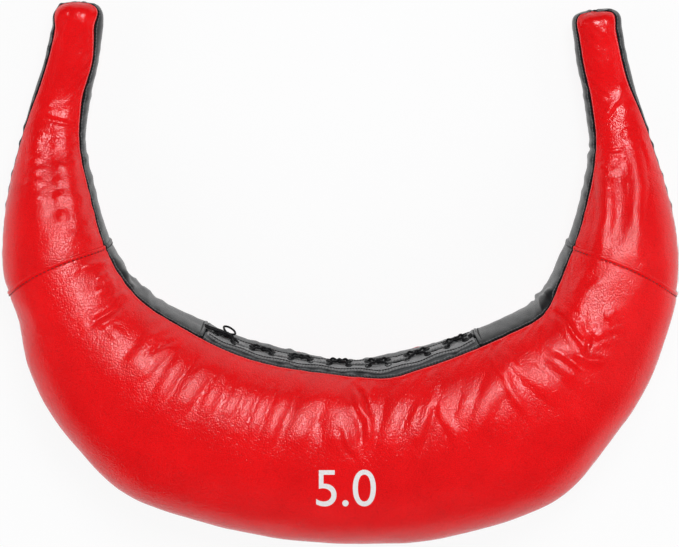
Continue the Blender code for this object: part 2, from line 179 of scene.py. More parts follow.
# How far the inner wall spreads over the floor below its middle, in millimetres, by station
WALL_SPREADS = (
    (-5.0, 0.0), (-3.4, 1.0), (-2.0, 6.0), (-1.2, 10.0), (-0.7, 8.0), (0.0, 0.0), (0.5, -1.0),
    (0.9, 3.5), (1.3, 3.0), (1.7, 1.0), (2.6, -3.5), (3.4, -1.0), (4.0, -1.0), (4.6, 1.0),
    (5.6, 0.0),
)

# How much of the inner gusset's back half there is, by station: the back shows past the opening
BACK_SHARES = ((-10.0, 1.0), (-0.6, 1.0), (0.4, 0.70), (1.3, 0.70), (2.2, 1.0), (10.0, 1.0))

# How much of the outer gusset's front half shows, by station: the belly's front rolls over it
OUTER_SHARES = (
    (-11.0, 0.3), (-10.6, 0.6), (-10.0, 0.9), (-8.0, 0.9), (-7.2, 0.7), (-6.4, 0.5), (-5.0, 0.5),
    (-3.6, 0.1), (3.6, 0.1), (5.0, 0.5), (6.4, 0.5), (7.4, 0.8), (8.2, 1.05), (10.0, 1.10),
    (10.6, 1.0), (11.0, 0.6),
)

# Folds on the front, on the photograph: kind, half width in pixels, height in millimetres, path
HORN_FOLDS = (
    # on the left horn
    ("ridge", 4.0, 0.9, ((37, 112), (54, 104))),
    ("crease", 3.0, 0.9, ((41, 117), (60, 122), (79, 126))),
    ("ridge", 3.5, 0.8, ((29, 131), (47, 129), (64, 130))),
    ("ridge", 2.6, 0.6, ((49, 141), (80, 140))),
    ("ridge", 2.2, 0.5, ((51, 146), (70, 144))),
    ("ridge", 3.0, 0.7, ((33, 140), (46, 135))),
    ("ridge", 3.4, 0.9, ((25, 163), (45, 157))),
    ("ridge", 3.2, 0.8, ((32, 173), (44, 168))),
    ("ridge", 3.4, 0.8, ((22, 185), (44, 181))),
    ("ridge", 5.0, 1.1, ((57, 170), (62, 163))),
    ("ridge", 5.0, 1.0, ((56, 184), (62, 178))),
    ("ridge", 3.4, 0.7, ((71, 163), (77, 160))),
    ("ridge", 5.0, 1.2, ((53, 199), (66, 194))),
    ("ridge", 5.0, 1.2, ((77, 200), (90, 192))),
    ("ridge", 5.2, 1.2, ((59, 221), (67, 211))),
    ("ridge", 5.2, 1.2, ((84, 226), (93, 215))),
    ("ridge", 5.6, 1.2, ((66, 243), (78, 233))),
    ("ridge", 5.6, 1.2, ((86, 241), (97, 232))),
    ("ridge", 3.2, 0.5, ((14, 200), (46, 197))),
    ("ridge", 9.5, -1.7, ((51, 132), (49, 160), (54, 190), (53, 215), (60, 238))),
    ("puff", 10.0, 1.4, ((68, 140), (71, 175), (77, 212), (85, 246))),
    ("puff", 8.0, 0.8, ((36, 128), (33, 165), (33, 200))),
    # on the right horn
    ("ridge", 5.0, 1.0, ((618, 100), (625, 84))),
    ("fold", 4.0, 1.2, ((598, 122), (609, 117), (616, 107), (626, 98))),
    ("ridge", 4.5, 0.9, ((621, 124), (629, 106))),
    ("ridge", 4.0, 0.9, ((623, 139), (629, 128))),
    ("crease", 2.4, 0.7, ((606, 151), (613, 151), (622, 149))),
    ("crease", 2.4, 0.6, ((615, 160), (623, 158))),
    ("ridge", 2.6, 0.6, ((598, 166), (609, 165))),
    ("ridge", 3.6, 0.9, ((610, 171), (622, 167))),
    ("puff", 9.5, 1.7, ((628, 134), (636, 160), (640, 185), (637, 212), (640, 246))),
    ("ridge", 4.4, 0.6, ((635, 241), (639, 262))),
    ("ridge", 2.6, 0.8, ((641, 136), (648, 153), (650, 165))),
    ("puff", 10.0, 1.8, ((600, 156), (604, 186), (606, 214), (600, 240), (594, 266))),
    ("ridge", 9.0, -2.7, ((619, 152), (621, 200), (618, 250))),
    # at the tips
    ("ridge", 4.6, 0.7, ((59, 20), (63, 8))),
    ("ridge", 4.6, 0.7, ((80, 26), (87, 12))),
    ("ridge", 3.0, -0.7, ((70, 6), (70, 18))),
    ("ridge", 3.4, 0.7, ((580, 28), (585, 20))),
    ("ridge", 4.4, 0.8, ((605, 38), (612, 20))),
)
BELLY_FOLDS = (
    # beside the left cross seam
    ("ridge", 3.2, 0.8, ((71, 277), (78, 265))),
    ("ridge", 3.8, 2.2, ((80, 268), (111, 261))),
    ("ridge", 3.4, 2.4, ((95, 281), (110, 271))),
    ("ridge", 3.0, 2.0, ((101, 285), (115, 277))),
    ("ridge", 4.4, 2.6, ((95, 295), (117, 282))),
    ("ridge", 3.6, 1.6, ((111, 301), (128, 292))),
    ("crease", 4.2, 1.6, ((90, 324), (119, 307), (124, 300))),
    ("ridge", 4.0, 1.6, ((97, 328), (113, 319), (124, 318))),
    ("ridge", 8.5, 1.4, ((109, 338), (118, 326))),
    ("ridge", 6.0, -0.5, ((120, 364), (136, 342), (141, 330))),
    # gathers along the inner seam, from the left
    ("puff", 11.0, 1.5, ((160, 325), (144, 349), (124, 374))),
    ("ridge", 4.0, 0.9, ((168, 327), (149, 340))),
    ("crease", 3.2, 0.9, ((146, 355), (160, 347), (176, 340))),
    ("puff", 9.0, 1.2, ((178, 338), (154, 359), (136, 384))),
    ("puff", 9.5, 1.4, ((194, 346), (172, 374), (156, 404))),
    ("puff", 13.0, 1.8, ((219, 354), (195, 381), (171, 416))),
    ("puff", 9.0, 1.3, ((232, 362), (216, 388), (201, 420))),
    ("puff", 8.6, 1.2, ((252, 370), (237, 396), (224, 424))),
    ("puff", 7.4, 1.1, ((264, 376), (249, 401), (238, 430))),
    ("puff", 7.6, 1.1, ((276, 380), (260, 411), (249, 440))),
    ("puff", 10.0, 1.5, ((294, 380), (277, 412), (263, 450))),
    ("puff", 13.5, 1.6, ((323, 382), (304, 416), (290, 456))),
    # the middle, under the kink in the seam
    ("puff", 19.0, 2.4, ((329, 378), (337, 412), (344, 456))),
    ("ridge", 3.0, -1.0, ((338, 428), (343, 438))),
    ("fold", 4.2, 1.2, ((340, 434), (347, 450), (356, 459))),
    ("ridge", 5.0, 2.4, ((356, 390), (359, 408), (368, 419), (369, 441), (366, 445))),
    ("ridge", 3.4, -1.3, ((361, 417), (363, 432), (361, 446))),
    ("crease", 3.4, 1.4, ((354, 386), (362, 394), (369, 411))),
    ("ridge", 3.2, 1.1, ((375, 382), (372, 391), (368, 397), (364, 395))),
    # to the right of the middle
    ("puff", 11.0, 1.6, ((400, 386), (392, 425), (382, 462))),
    ("puff", 10.0, 1.0, ((421, 412), (406, 441), (393, 474))),
    ("ridge", 3.4, 0.8, ((421, 398), (414, 417), (408, 432))),
    ("fold", 6.0, 1.5, ((420, 452), (430, 420), (438, 390))),
    ("puff", 7.5, 1.2, ((430, 390), (445, 417), (461, 446))),
    ("puff", 8.0, 1.0, ((473, 386), (461, 420), (451, 454))),
    ("puff", 13.0, 1.8, ((502, 370), (484, 409), (470, 446))),
    ("ridge", 5.4, 1.8, ((502, 356), (509, 388), (528, 415))),
    ("ridge", 4.0, 1.2, ((503, 352), (521, 374))),
    ("ridge", 3.0, 1.0, ((488, 352), (502, 377))),
    ("puff", 13.0, 1.7, ((520, 366), (541, 382), (566, 402))),
    ("fold", 7.0, 1.8, ((586, 375), (568, 361), (550, 350))),
    ("ridge", 9.0, 1.0, ((553, 372), (584, 380))),
    # the dimple on the right and the creases that run into it
    ("ridge", 9.5, -2.8, ((586, 344), (592, 345))),
    ("crease", 4.2, 1.7, ((545, 305), (563, 318), (570, 326), (575, 335), (586, 346))),
    ("crease", 4.0, 0.5, ((585, 315), (587, 341))),
    ("crease", 3.6, 0.6, ((590, 344), (608, 336), (622, 334))),
    ("ridge", 4.4, 3.0, ((576, 349), (580, 356), (588, 360), (599, 361), (607, 358))),
    ("ridge", 6.4, 1.4, ((596, 340), (607, 330))),
    ("ridge", 5.4, 1.2, ((603, 318), (618, 309))),
    ("ridge", 9.0, 1.7, ((573, 312), (590, 288))),
    ("ridge", 3.2, 0.9, ((585, 289), (603, 281))),
    ("ridge", 3.2, 1.0, ((548, 312), (558, 306))),
    ("ridge", 4.2, 0.8, ((532, 329), (544, 323))),
    ("ridge", 5.0, 1.0, ((571, 297), (590, 268))),
)
GUSSET_FOLDS = (
    ("fold", 4.0, 1.8, ((110, 256), (117, 268), (128, 286))),
    ("crease", 3.4, 1.8, ((126, 266), (134, 282))),
    ("ridge", 3.0, 1.4, ((142, 284), (150, 296))),
    ("fold", 4.0, 2.6, ((531, 294), (538, 302), (543, 314))),
    ("crease", 3.4, 2.8, ((560, 290), (549, 300), (543, 314))),
    ("ridge", 3.0, 1.6, ((552, 288), (545, 296))),
    ("crease", 3.0, 0.9, ((84, 132), (74, 138))),
    ("crease", 3.0, 0.9, ((592, 122), (602, 127))),
    ("crease", 3.0, 0.9, ((586, 148), (596, 152))),
)

# The lacing as it is pulled shut, in metres and in shares of the opening's length
SLIT_FROM_SEAM = 0.0185
FLAP_FROM_SLIT = 0.0014
FLAP_TO_HEM = 0.0125
FLAP_WAVE = 0.0013
EYELET_HEIGHT = 0.0054
FLAP_LIFT = 0.0014
FLAP_SHARE = 0.985
HEM_STITCH_SETBACK = 0.0016
LACE_RADIUS = 0.00130
LACE_REST = 0.0012
KNOT_CORD_RADIUS = 0.0009
KNOT_LIFT = 0.0042
TONGUE_SHARE = 0.97
TONGUE_ABOVE = 0.013
TONGUE_BELOW = 0.015
TONGUE_FRONT = 0.0064
TONGUE_BACK = 0.0076
EYELET_LIFT = 0.0008
EYELET_RADIUS = 0.0026
EYELET_RIM = 0.0007
EYELET_HOLE = 0.0024
EYELET_SIDES = 14
END_STITCH_SHARES = (1.016, 1.034)

# Half of a crossing, from its middle down behind a flap: the share of the way along to the eyelet,
# the share of the eyelet's height and the lift in metres
LACE_WAY = ((0.3, 0.34, 0.0), (0.7, 0.80, 0.0005), (0.97, 0.98, -0.0020), (1.25, 1.0, -0.0042))

# How deep the filling lies under the surface, in metres, and the stations at which it ends
WADDING_DEPTH = 0.0078
WADDING_BOTTOM = 0.0165
POUCH_DEPTH = 0.0195
WADDING_END = 4.93
POUCH_END = 4.9

# The printed number: the cells that its figures are cut into, in pixels, and its ink in metres
PRINT_CELL = 2.4
PRINT_LIFT = 0.00012


def curve_between(before, start, end, after, t):
    """A smooth curve from start to end that heeds the points before and after them."""
    return 0.5 * (2 * start + (end - before) * t + (2 * before - 5 * start + 4 * end - after) * t**2
                  + (3 * start - before - 3 * end + after) * t**3)


def section_rows(rows, station):
    """Rows at fractional stations, on a smooth curve through them, alike on both halves."""
    rows = np.asarray(rows, float).reshape(len(rows), -1)
    mirror = np.array([-1, 1, -1, 1] if rows.shape[1] == 4 else [1])
    padded = np.vstack([rows[1] * mirror, rows, 2 * rows[-1] - rows[-2]])
    low = np.clip(np.floor(station).astype(int), 0, len(rows) - 2)
    t = (station - low)[..., None]
    return curve_between(*(padded[low + k] for k in range(4)), t)


def seam_radius():
    """Half the length of the cross seam's section."""
    inner_x, inner_y, outer_x, outer_y = STATION_SHARES[SEAM_STATION]
    return 0.5 * math.hypot((outer_x - inner_x) * WIDTH / 2, (outer_y - inner_y) * HEIGHT)


class Sections:
    """The bag's cross sections at an array of stations, on its right half."""

    def __init__(self, station):
        station = np.abs(np.asarray(station, float))
        on = np.minimum(station, LAST_STATION)
        shares = section_rows(STATION_SHARES, on)
        scale = np.array([WIDTH / 2, HEIGHT])
        inner = shares[..., :2] * scale - np.array([0, HEIGHT / 2])
        outer = shares[..., 2:] * scale - np.array([0, HEIGHT / 2])
        reach = outer - inner
        length = np.linalg.norm(reach, axis=-1)
        self.middle = (inner + outer) / 2
        self.across = reach / length[..., None]
        self.along = np.stack([-self.across[..., 1], self.across[..., 0]], -1)
        self.half_width = length / 2
        taper = section_rows(TAPER_SHARES, on)[..., 0]
        self.half_thickness = (THICKNESS + (GRIP_THICKNESS - THICKNESS) * taper) / 2
        out_on_horn = np.maximum(0.0, (on - SEAM_STATION) / (LAST_STATION - SEAM_STATION))
        self.floor = GRIP_RISE * out_on_horn
        settle = FLOOR_SETTLE * (1 - taper)
        self.height = self.floor + self.half_thickness - settle / 2
        self.half_thickness = self.half_thickness + settle / 2
        self.inner_gusset = BELLY_GUSSET + (GRIP_GUSSET - BELLY_GUSSET) * taper
        self.outer_gusset = BELLY_OUTER_GUSSET + (GRIP_GUSSET - BELLY_OUTER_GUSSET) * taper
        tip = np.clip(station - LAST_STATION, 0.0, 1.0)
        rest = (HEIGHT / 2 - TIP_KNOT_STAND - self.middle[..., 1]) * tip
        self.middle = self.middle + self.along * rest[..., None]
        self.tip_share = (1 - tip**TIP_POWER) ** (1 / TIP_POWER)
        self.bow = np.maximum(0.0, 1 - ((on - SEAM_STATION) / BOW_REACH) ** 2) ** 2

    def seam_angle(self, gusset):
        """The angle above the middle at which a gusset of this width ends."""
        share = np.minimum(1.0, gusset / 2 / np.maximum(self.half_thickness * self.tip_share, 1e-6))
        return np.arcsin(share ** (SECTION_POWER / 2))

    def wall_angle(self, above_middle):
        """The inner wall's angle at a height above its middle."""
        share = above_middle / self.half_thickness
        return HALF - np.sign(share) * np.arcsin(np.abs(share) ** (SECTION_POWER / 2))


def by_station(table, station):
    """A value that runs in nearly straight lines between the stations of a table."""
    stations, values = zip(*table)
    return sum(np.interp(station + step, stations, values) for step in (-0.15, 0.0, 0.15)) / 3


def bag_surface(station, angle, inset=0.0, ring=1.0):
    """Points of the bag at stations and angles around its section, below its surface by inset."""
    station, angle = np.broadcast_arrays(np.asarray(station, float), np.asarray(angle, float))
    section = Sections(station)
    swell = 2 / SECTION_POWER
    cosine, sine = np.cos(angle), np.sin(angle)
    out = np.sign(cosine) * np.abs(cosine) ** swell * ring
    out = out * np.maximum(section.half_width * section.tip_share - inset, 0.0)
    spread = by_station(WALL_SPREADS, station) / 1000
    out = out - ring * spread * 2 * np.clip(-cosine, 0, 1) * np.clip(-sine, 0, 1)
    up = np.sign(sine) * np.abs(sine) ** swell * ring
    up = up * np.maximum(section.half_thickness * section.tip_share - inset, 0.0)
    height = np.maximum(section.height + up, section.floor + inset)
    edge = seam_radius()
    scaled = np.clip(out * edge / section.half_width, -edge, edge)
    arc = np.sqrt(HINGE_RADIUS**2 - scaled**2) - math.sqrt(HINGE_RADIUS**2 - edge * edge)
    flat = section.middle + section.across * out[..., None]
    flat = flat + section.along * (section.bow * arc)[..., None]
    side = np.where(station < 0, -1.0, 1.0)
    return lean(np.stack([flat[..., 0] * side, flat[..., 1], height], -1))


def camera_frame():
    """The camera's place and its right, up and forward directions."""
    sine, cosine = math.sin(CAMERA_TILT), math.cos(CAMERA_TILT)
    place = np.array(CAMERA_TARGET) + CAMERA_DISTANCE * np.array([0, sine, cosine])
    return place, np.array([1.0, 0, 0]), np.array([0, cosine, -sine]), np.array([0, -sine, -cosine])


def to_photo(points):
    """The photograph's pixels that these points fall on."""
    place, right, up, forward = camera_frame()
    ray = points - place
    depth = ray @ forward
    return np.stack([PHOTO_SIZE[0] / 2 + FOCAL_PIXELS * (ray @ right) / depth,
                     PHOTO_SIZE[1] / 2 - FOCAL_PIXELS * (ray @ up) / depth], -1)


def photo_ray(x, y):
    """The camera's place and the direction through one of the photograph's pixels."""
    place, right, up, forward = camera_frame()
    ray = forward + right * (x - PHOTO_SIZE[0] / 2) / FOCAL_PIXELS
    ray = ray - up * (y - PHOTO_SIZE[1] / 2) / FOCAL_PIXELS
    return place, ray / np.linalg.norm(ray)


def from_photo(x, y, height):
    """The point at this height that the photograph's pixel shows."""
    place, ray = photo_ray(x, y)
    return place + ray * (height - place[2]) / ray[2]


def lean(points):
    """Moves points of the even bag to where the stuffed one has them."""
    moved = points.copy()
    for x, y, right, up, reach in LEANS:
        centre = from_photo(x, y, CAMERA_TARGET[2])[:2]
        away = np.sum((points[..., :2] - centre) ** 2, -1)
        share = np.exp(-away / (2 * (reach / 1000) ** 2))
        moved[..., 0] += share * right / 1000
        moved[..., 1] += share * up / 1000
    return moved


def path_distance(pixels, path):
    """The distance of pixels from a path, positive on its left, and how far along it they lie."""
    path = np.asarray(path, float)
    pieces = np.diff(path, axis=0)
    lengths = np.linalg.norm(pieces, axis=1)
    starts = np.concatenate([[0.0], np.cumsum(lengths)])
    best = np.full(len(pixels), 1e9)
    signed, along = np.zeros(len(pixels)), np.zeros(len(pixels))
    for start, piece, length, run in zip(path, pieces, lengths, starts):
        rel = pixels - start
        t = np.clip(rel @ piece / length**2, 0, 1)
        away = rel - t[:, None] * piece
        distance = np.linalg.norm(away, axis=1)
        side = np.sign(rel[:, 0] * piece[1] - rel[:, 1] * piece[0])
        nearer = distance < best
        best = np.where(nearer, distance, best)
        signed = np.where(nearer, distance * side, signed)
        along = np.where(nearer, (run + t * length) / starts[-1], along)
    return signed, along


def bell(x):
    return np.exp(-x * x)


def soft_step(x):
    """A smooth step from 0 to 1."""
    x = np.clip(x, 0, 1)
    return x * x * (3 - 2 * x)


def unit(vectors):
    """Vectors of length 1 in the same directions."""
    return vectors / np.maximum(np.linalg.norm(vectors, axis=-1, keepdims=True), 1e-12)


def turned_out(directions, away):
    """Directions, turned round where they point against the way out."""
    against = np.sum(directions * away, -1, keepdims=True) < 0
    return directions * np.where(against, -1.0, 1.0)


FOLD_PROFILES = {
    # a soft ridge, a broad swelling between two tucks, a valley between two shoulders, and a fold
    # whose left side stands over its right
    "ridge": bell,
    "puff": lambda d: np.clip(1 - d * d, 0, 1) ** 1.2,
    "crease": lambda d: 0.55 * bell((np.abs(d) - 1.5) / 0.9) - bell(d / 0.6),
    "fold": lambda d: bell(d - 0.9) - 0.7 * bell((d + 0.35) / 0.5),
}


def fold_heights(points, folds):
    """How far folds raise these points of the surface, in metres."""
    pixels = to_photo(points).reshape(-1, 2)
    height = np.zeros(len(pixels))
    for kind, width, rise, path in folds:
        low = np.min(path, axis=0) - 3.2 * width
        high = np.max(path, axis=0) + 3.2 * width
        near = np.flatnonzero(np.all((pixels > low) & (pixels < high), axis=1))
        if not len(near):
            continue
        distance, along = path_distance(pixels[near], path)
        fade = 0.25 + 0.75 * soft_step(np.minimum(along, 1 - along) / 0.28)
        height[near] += rise / 1000 * fade * FOLD_PROFILES[kind](distance / width)
    return height.reshape(points.shape[:-1])


def ripple(points, amount, longest, shortest, seed):
    """An uneven swell made of waves in all directions."""
    chance = np.random.default_rng(seed)
    waves = 22
    lengths = longest * (shortest / longest) ** chance.random(waves)
    directions = unit(chance.normal(size=(waves, 3)))
    phases = chance.random(waves) * TURN
    total = np.zeros(points.shape[:-1])
    for length, direction, phase in zip(lengths, directions, phases):
        total += np.sin(points @ direction * TURN / length + phase) * (length / longest) ** 0.6
    return amount * total / math.sqrt(waves / 2)


def gathers(run, distance, amount, reach, longest, shortest, seed):
    """Puckers that stand on a seam and die away from it; run is the way along the seam."""
    chance = np.random.default_rng(seed)
    total = np.zeros(np.broadcast_shapes(run.shape, distance.shape))
    for _ in range(14):
        length = longest * (shortest / longest) ** chance.random()
        slant = chance.normal() * 0.25
        total += np.cos(TURN * (run + slant * distance) / length + chance.random() * TURN)
    total = np.sign(total) * np.abs(total / 3) ** 1.3
    fade = np.exp(-distance / reach) * (1 - np.exp(-distance / (reach / 6)))
    return amount * total * fade


def lengths_along(points):
    """The running length along the last but one axis."""
    steps = np.linalg.norm(np.diff(points, axis=-2), axis=-1)
    zero = np.zeros(points.shape[:-2] + (1,))
    return np.concatenate([zero, np.cumsum(steps, axis=-1)], axis=-1)


def hem_places(total, count, low_hem=True, high_hem=True):
    """count places from 0 to the total length, close together at the hems."""
    steps = np.array(HEM_STEPS) * min(1.0, total / (2.8 * HEM_STEPS[-1]))
    low = steps if low_hem else np.zeros(1)
    high = total - steps[::-1] if high_hem else np.full(1, total)
    middle = np.linspace(low[-1], high[0], count - len(low) - len(high) + 2)
    return np.concatenate([low, middle[1:-1], high])


def spread_stations(start, end, count, start_hem=True, end_hem=True):
    """Stations an even length apart along the crown, closer at the hems, with their lengths."""
    dense = np.linspace(start, end, 1201)
    lengths = lengths_along(bag_surface(dense, np.full_like(dense, QUARTER)))
    places = hem_places(lengths[-1], count, start_hem, end_hem)
    return np.interp(places, lengths, dense), places


def angles_between(low, high, shares):
    """Angles from one edge to the other, by their share of the way."""
    return low[:, None] + (high - low)[:, None] * shares


def spread_angles(station, low, high, count):
    """Angles an even length apart between two edges, with the distances from both edges."""
    angles = angles_between(low, high, np.linspace(0, 1, 241))
    lengths = lengths_along(bag_surface(station[:, None], angles))
    places = np.array([hem_places(total, count) for total in lengths[:, -1]])
    found = np.array([np.interp(p, own, a) for p, own, a in zip(places, lengths, angles)])
    return found, places, lengths[:, -1:] - places


def grid_normals(points, core):
    """Directions square to a grid of points, away from its core."""
    normal = np.cross(np.gradient(points, axis=0), np.gradient(points, axis=1))
    return turned_out(unit(normal), points - core)


def gap_angle(station, angle):
    """The angle that half a seam's gap spans."""
    step = 0.01
    way = bag_surface(station, angle + step) - bag_surface(station, angle)
    length = np.linalg.norm(way, axis=-1)
    return step * SEAM_GAP / 2 / np.maximum(length, 3e-4)


def front_edges(station):
    """The front's angles at its outer and its inner seam."""
    section = Sections(station)
    outer = section.seam_angle(section.outer_gusset * by_station(OUTER_SHARES, station))
    inner = HALF - section.seam_angle(section.inner_gusset * by_station(FRONT_SHARES, station))
    return outer + gap_angle(station, outer), inner - gap_angle(station, inner)


def back_edges(station):
    """The back's angles at its outer and its inner seam."""
    section = Sections(station)
    outer = section.seam_angle(section.outer_gusset)
    inner = HALF - section.seam_angle(section.inner_gusset * by_station(BACK_SHARES, station))
    return -outer - gap_angle(station, outer), -inner + gap_angle(station, inner)


def outer_gusset_edges(station):
    """The outer gusset's angles at the front and the back seam."""
    section = Sections(station)
    back = section.seam_angle(section.outer_gusset)
    front = section.seam_angle(section.outer_gusset * by_station(OUTER_SHARES, station))
    return front - gap_angle(station, front), -back + gap_angle(station, back)


def inner_gusset_edges(station):
    """The inner gusset's angles at the front and the back seam."""
    section = Sections(station)
    back = section.seam_angle(section.inner_gusset * by_station(BACK_SHARES, station))
    front = section.seam_angle(section.inner_gusset * by_station(FRONT_SHARES, station))
    return (HALF - front + gap_angle(station, HALF - front),
            HALF + back - gap_angle(station, HALF - back))


def slit_level(station):
    """The slit's height above the wall's middle, a little behind the front seam."""
    half = Sections(station).inner_gusset / 2 * by_station(FRONT_SHARES, station)
    return half - SLIT_FROM_SEAM


def lacing_station():
    """The station at which the laced opening ends."""
    station = np.arange(0, SEAM_STATION, 0.01)
    lengths = lengths_along(bag_surface(station, np.full_like(station, HALF)))
    return float(np.interp(LACING_HALF_LENGTH, lengths, station))


def edge_angles(edges, station):
    """The angles of two edges at one station."""
    return [float(angle[0]) for angle in edges(np.array([station]))]


def smooth_mesh(name, shape):
    """A smooth mesh of this bmesh, which is freed."""
    mesh = bpy.data.meshes.new(name)
    shape.to_mesh(mesh)
    shape.free()
    mesh.shade_smooth()
    return mesh


def finish_mesh(name, mesh, material, collection="power_bag"):
    """An object of this mesh with its material, in the bag's collection."""
    mesh.materials.append(material)
    obj = bpy.data.objects.new(name, mesh)
    found = bpy.data.collections.get(collection)
    if found is None:
        found = bpy.data.collections.new(collection)
        bpy.context.scene.collection.children.link(found)
    found.objects.link(obj)
    return obj


def add_piece(name, mesh, material, node=None, body="body"):
    """A finished piece that rides on a body and takes the place of a node of the frame."""
    obj = finish_mesh(name, mesh, material)
    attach(obj, body)
    if node:
        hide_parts(node)
    return obj


def ring_mesh(name, rings, seam_distance=None, seam_run=None):
    """A closed mesh through rings of points, with both ends filled."""
    rows, columns = rings.shape[:2]
    grid = bmesh.new()
    bmesh.ops.create_grid(grid, x_segments=columns, y_segments=rows - 1, size=1.0)
    wrapped = np.concatenate([rings, rings[:, :1]], axis=1).reshape(-1, 3)
    for vertex, place in zip(grid.verts, wrapped):
        vertex.co = place
    for label, values in (("seam_distance", seam_distance), ("seam_run", seam_run)):
        if values is not None:
            layer = grid.verts.layers.float.new(label)
            flat = np.concatenate([values, values[:, :1]], axis=1).ravel()
            for vertex, value in zip(grid.verts, flat):
                vertex[layer] = value
    bmesh.ops.remove_doubles(grid, verts=grid.verts, dist=1e-6)
    open_edges = [edge for edge in grid.edges if edge.is_boundary]
    if open_edges:
        bmesh.ops.holes_fill(grid, edges=open_edges, sides=0)
    if grid.calc_volume(signed=True) < 0:
        bmesh.ops.reverse_faces(grid, faces=grid.faces)
    return smooth_mesh(name, grid)


def rounded_edge(near, radius):
    """How far a sheet's edge, rounded to this radius, drops at a distance from it."""
    return radius - np.sqrt(np.maximum(radius**2 - np.maximum(radius - near, 0) ** 2, 0))


def leather_sheet(name, stations, edges, columns, shape, lift, hem=HEM_DEPTH,
                  backing=BACKING_DEPTH):
    """A sheet of leather between two seams, with its hems turned in and a plain backing.

    shape gives the height of its folds from the points, the distance from both seams and the way
    along them; lift raises rows of it, hem is how deep its edges turn in and backing how deep its
    inner side lies."""
    low, high = edges(stations)
    angles, from_low, from_high = spread_angles(stations, low, high, columns)
    base = bag_surface(stations[:, None], angles)
    core = bag_surface(stations[:, None], angles, ring=0.0)
    normal = grid_normals(base, core)
    near = np.minimum(from_low, from_high)
    run_low, run_high = lengths_along(base[:, 0]), lengths_along(base[:, -1])
    share = from_low / np.maximum(from_low + from_high, 1e-9)
    run = run_low[:, None] * (1 - share) + run_high[:, None] * share
    drop = rounded_edge(near, HEM_STEPS[4])
    height = shape(base, from_low, from_high, run) * (0.15 + 0.85 * soft_step(near / 0.004))
    lift = np.broadcast_to(np.asarray(lift, float).reshape(-1, 1), (len(stations), 1))
    outer = base + normal * (height + lift - drop)[..., None]
    outer[..., 2] = np.maximum(outer[..., 2], 0.0)
    first = base[:, :1] - normal[:, :1] * hem
    last = base[:, -1:] - normal[:, -1:] * hem
    spaced = angles_between(low, high, np.linspace(0, 1, BACKING_COLUMNS))
    inner = bag_surface(stations[:, None], spaced, backing)
    rings = np.concatenate([first, outer, last, inner[:, ::-1]], axis=1)
    pad = np.zeros((len(stations), 1))
    back = np.zeros((len(stations), BACKING_COLUMNS))
    distance = np.concatenate([pad, near, pad, back], axis=1)
    along = np.concatenate([run[:, :1], run, run[:, -1:], back + run[:, :1]], axis=1)
    return ring_mesh(name, rings, distance, along)


def body_sheet(name, start, end, edges, grid, shape, fold_share=1.0):
    """A leather sheet of the body from one station to another; grid is its rows and columns."""
    rows, columns = grid
    stations, places = spread_stations(start, end, rows)
    return leather_sheet(name, stations, edges, columns, shape, cross_fold(places) * fold_share)


def cross_fold(places):
    """The raised fold along each cross seam, on the body's side, by row."""
    near = np.minimum(places, places[-1] - places)
    rise = CROSS_FOLD_LIFT * np.clip(1.6 - near / CROSS_FOLD_WIDTH, 0, 1) ** 2
    dip = 0.0004 * bell((near - CROSS_STITCH_SETBACK) / 0.0009)
    return rise - 1.6 * rounded_edge(near, HEM_STEPS[3]) - dip


def front_shape(base, from_outer, from_inner, run):
    """The folds of the front: those seen, slight gathers at the seams and an uneven filling."""
    height = fold_heights(base, HORN_FOLDS + BELLY_FOLDS)
    height += gathers(run, from_inner, 0.0004, 0.009, 0.030, 0.012, 3)
    height += gathers(run, from_outer, 0.0004, 0.007, 0.040, 0.012, 4)
    height += 0.0008 * bell((from_inner - 0.0022) / 0.0012)
    return height + ripple(base, 0.00022, 0.070, 0.022, 5) + ripple(base, 0.00004, 0.012, 0.005, 6)


def back_shape(base, from_outer, from_inner, run):
    """The folds of the back, which is flat where the bag rests on it."""
    free = np.clip((base[..., 2] - 0.002) / 0.012, 0, 1)
    height = gathers(run, from_inner, 0.0012, 0.020, 0.045, 0.014, 11)
    height += gathers(run, from_outer, 0.0007, 0.016, 0.050, 0.018, 12)
    return (height + ripple(base, 0.00035, 0.070, 0.020, 13)) * free


def gusset_shape(base, from_low, from_high, run):
    """The folds of the gussets, at their kinks and along their seams."""
    height = fold_heights(base, GUSSET_FOLDS)
    height += gathers(run, np.minimum(from_low, from_high), 0.0006, 0.010, 0.028, 0.010, 21)
    return height + ripple(base, 0.00025, 0.060, 0.018, 22)


def make_node_group(name, inputs, outputs):
    """An empty shader node group with these inputs, each with its default, and these outputs."""
    group = bpy.data.node_groups.new(name, "ShaderNodeTree")
    for label in (*inputs, *outputs):
        socket = group.interface.new_socket(name=label, socket_type="NodeSocketFloat",
                                            in_out="INPUT" if label in inputs else "OUTPUT")
        if label in inputs:
            socket.default_value = inputs[label]
    return group, group.nodes.new("NodeGroupInput"), group.nodes.new("NodeGroupOutput")


def maths(tree, operation, first, second=None, third=None, clamp=False):
    """A Math node whose inputs are sockets or numbers; gives its output."""
    node = tree.nodes.new("ShaderNodeMath")
    node.operation = operation
    node.use_clamp = clamp
    for socket, value in zip(node.inputs, (first, second, third)):
        if value is None:
            continue
        if isinstance(value, (int, float)):
            socket.default_value = value
        else:
            tree.links.new(value, socket)
    return node.outputs[0]


def blend_colours(tree, factor, first, second, mode="MIX"):
    """A Mix node of two colours, each a socket or a value; gives its output."""
    node = tree.nodes.new("ShaderNodeMix")
    node.data_type = "RGBA"
    node.blend_type = mode
    inputs = (node.inputs[0], node.inputs[6], node.inputs[7])
    for socket, value in zip(inputs, (factor, first, second)):
        if isinstance(value, (int, float)):
            socket.default_value = value
        elif isinstance(value, (tuple, list)):
            socket.default_value = (*value[:3], 1.0)
        else:
            tree.links.new(value, socket)
    return node.outputs[2]


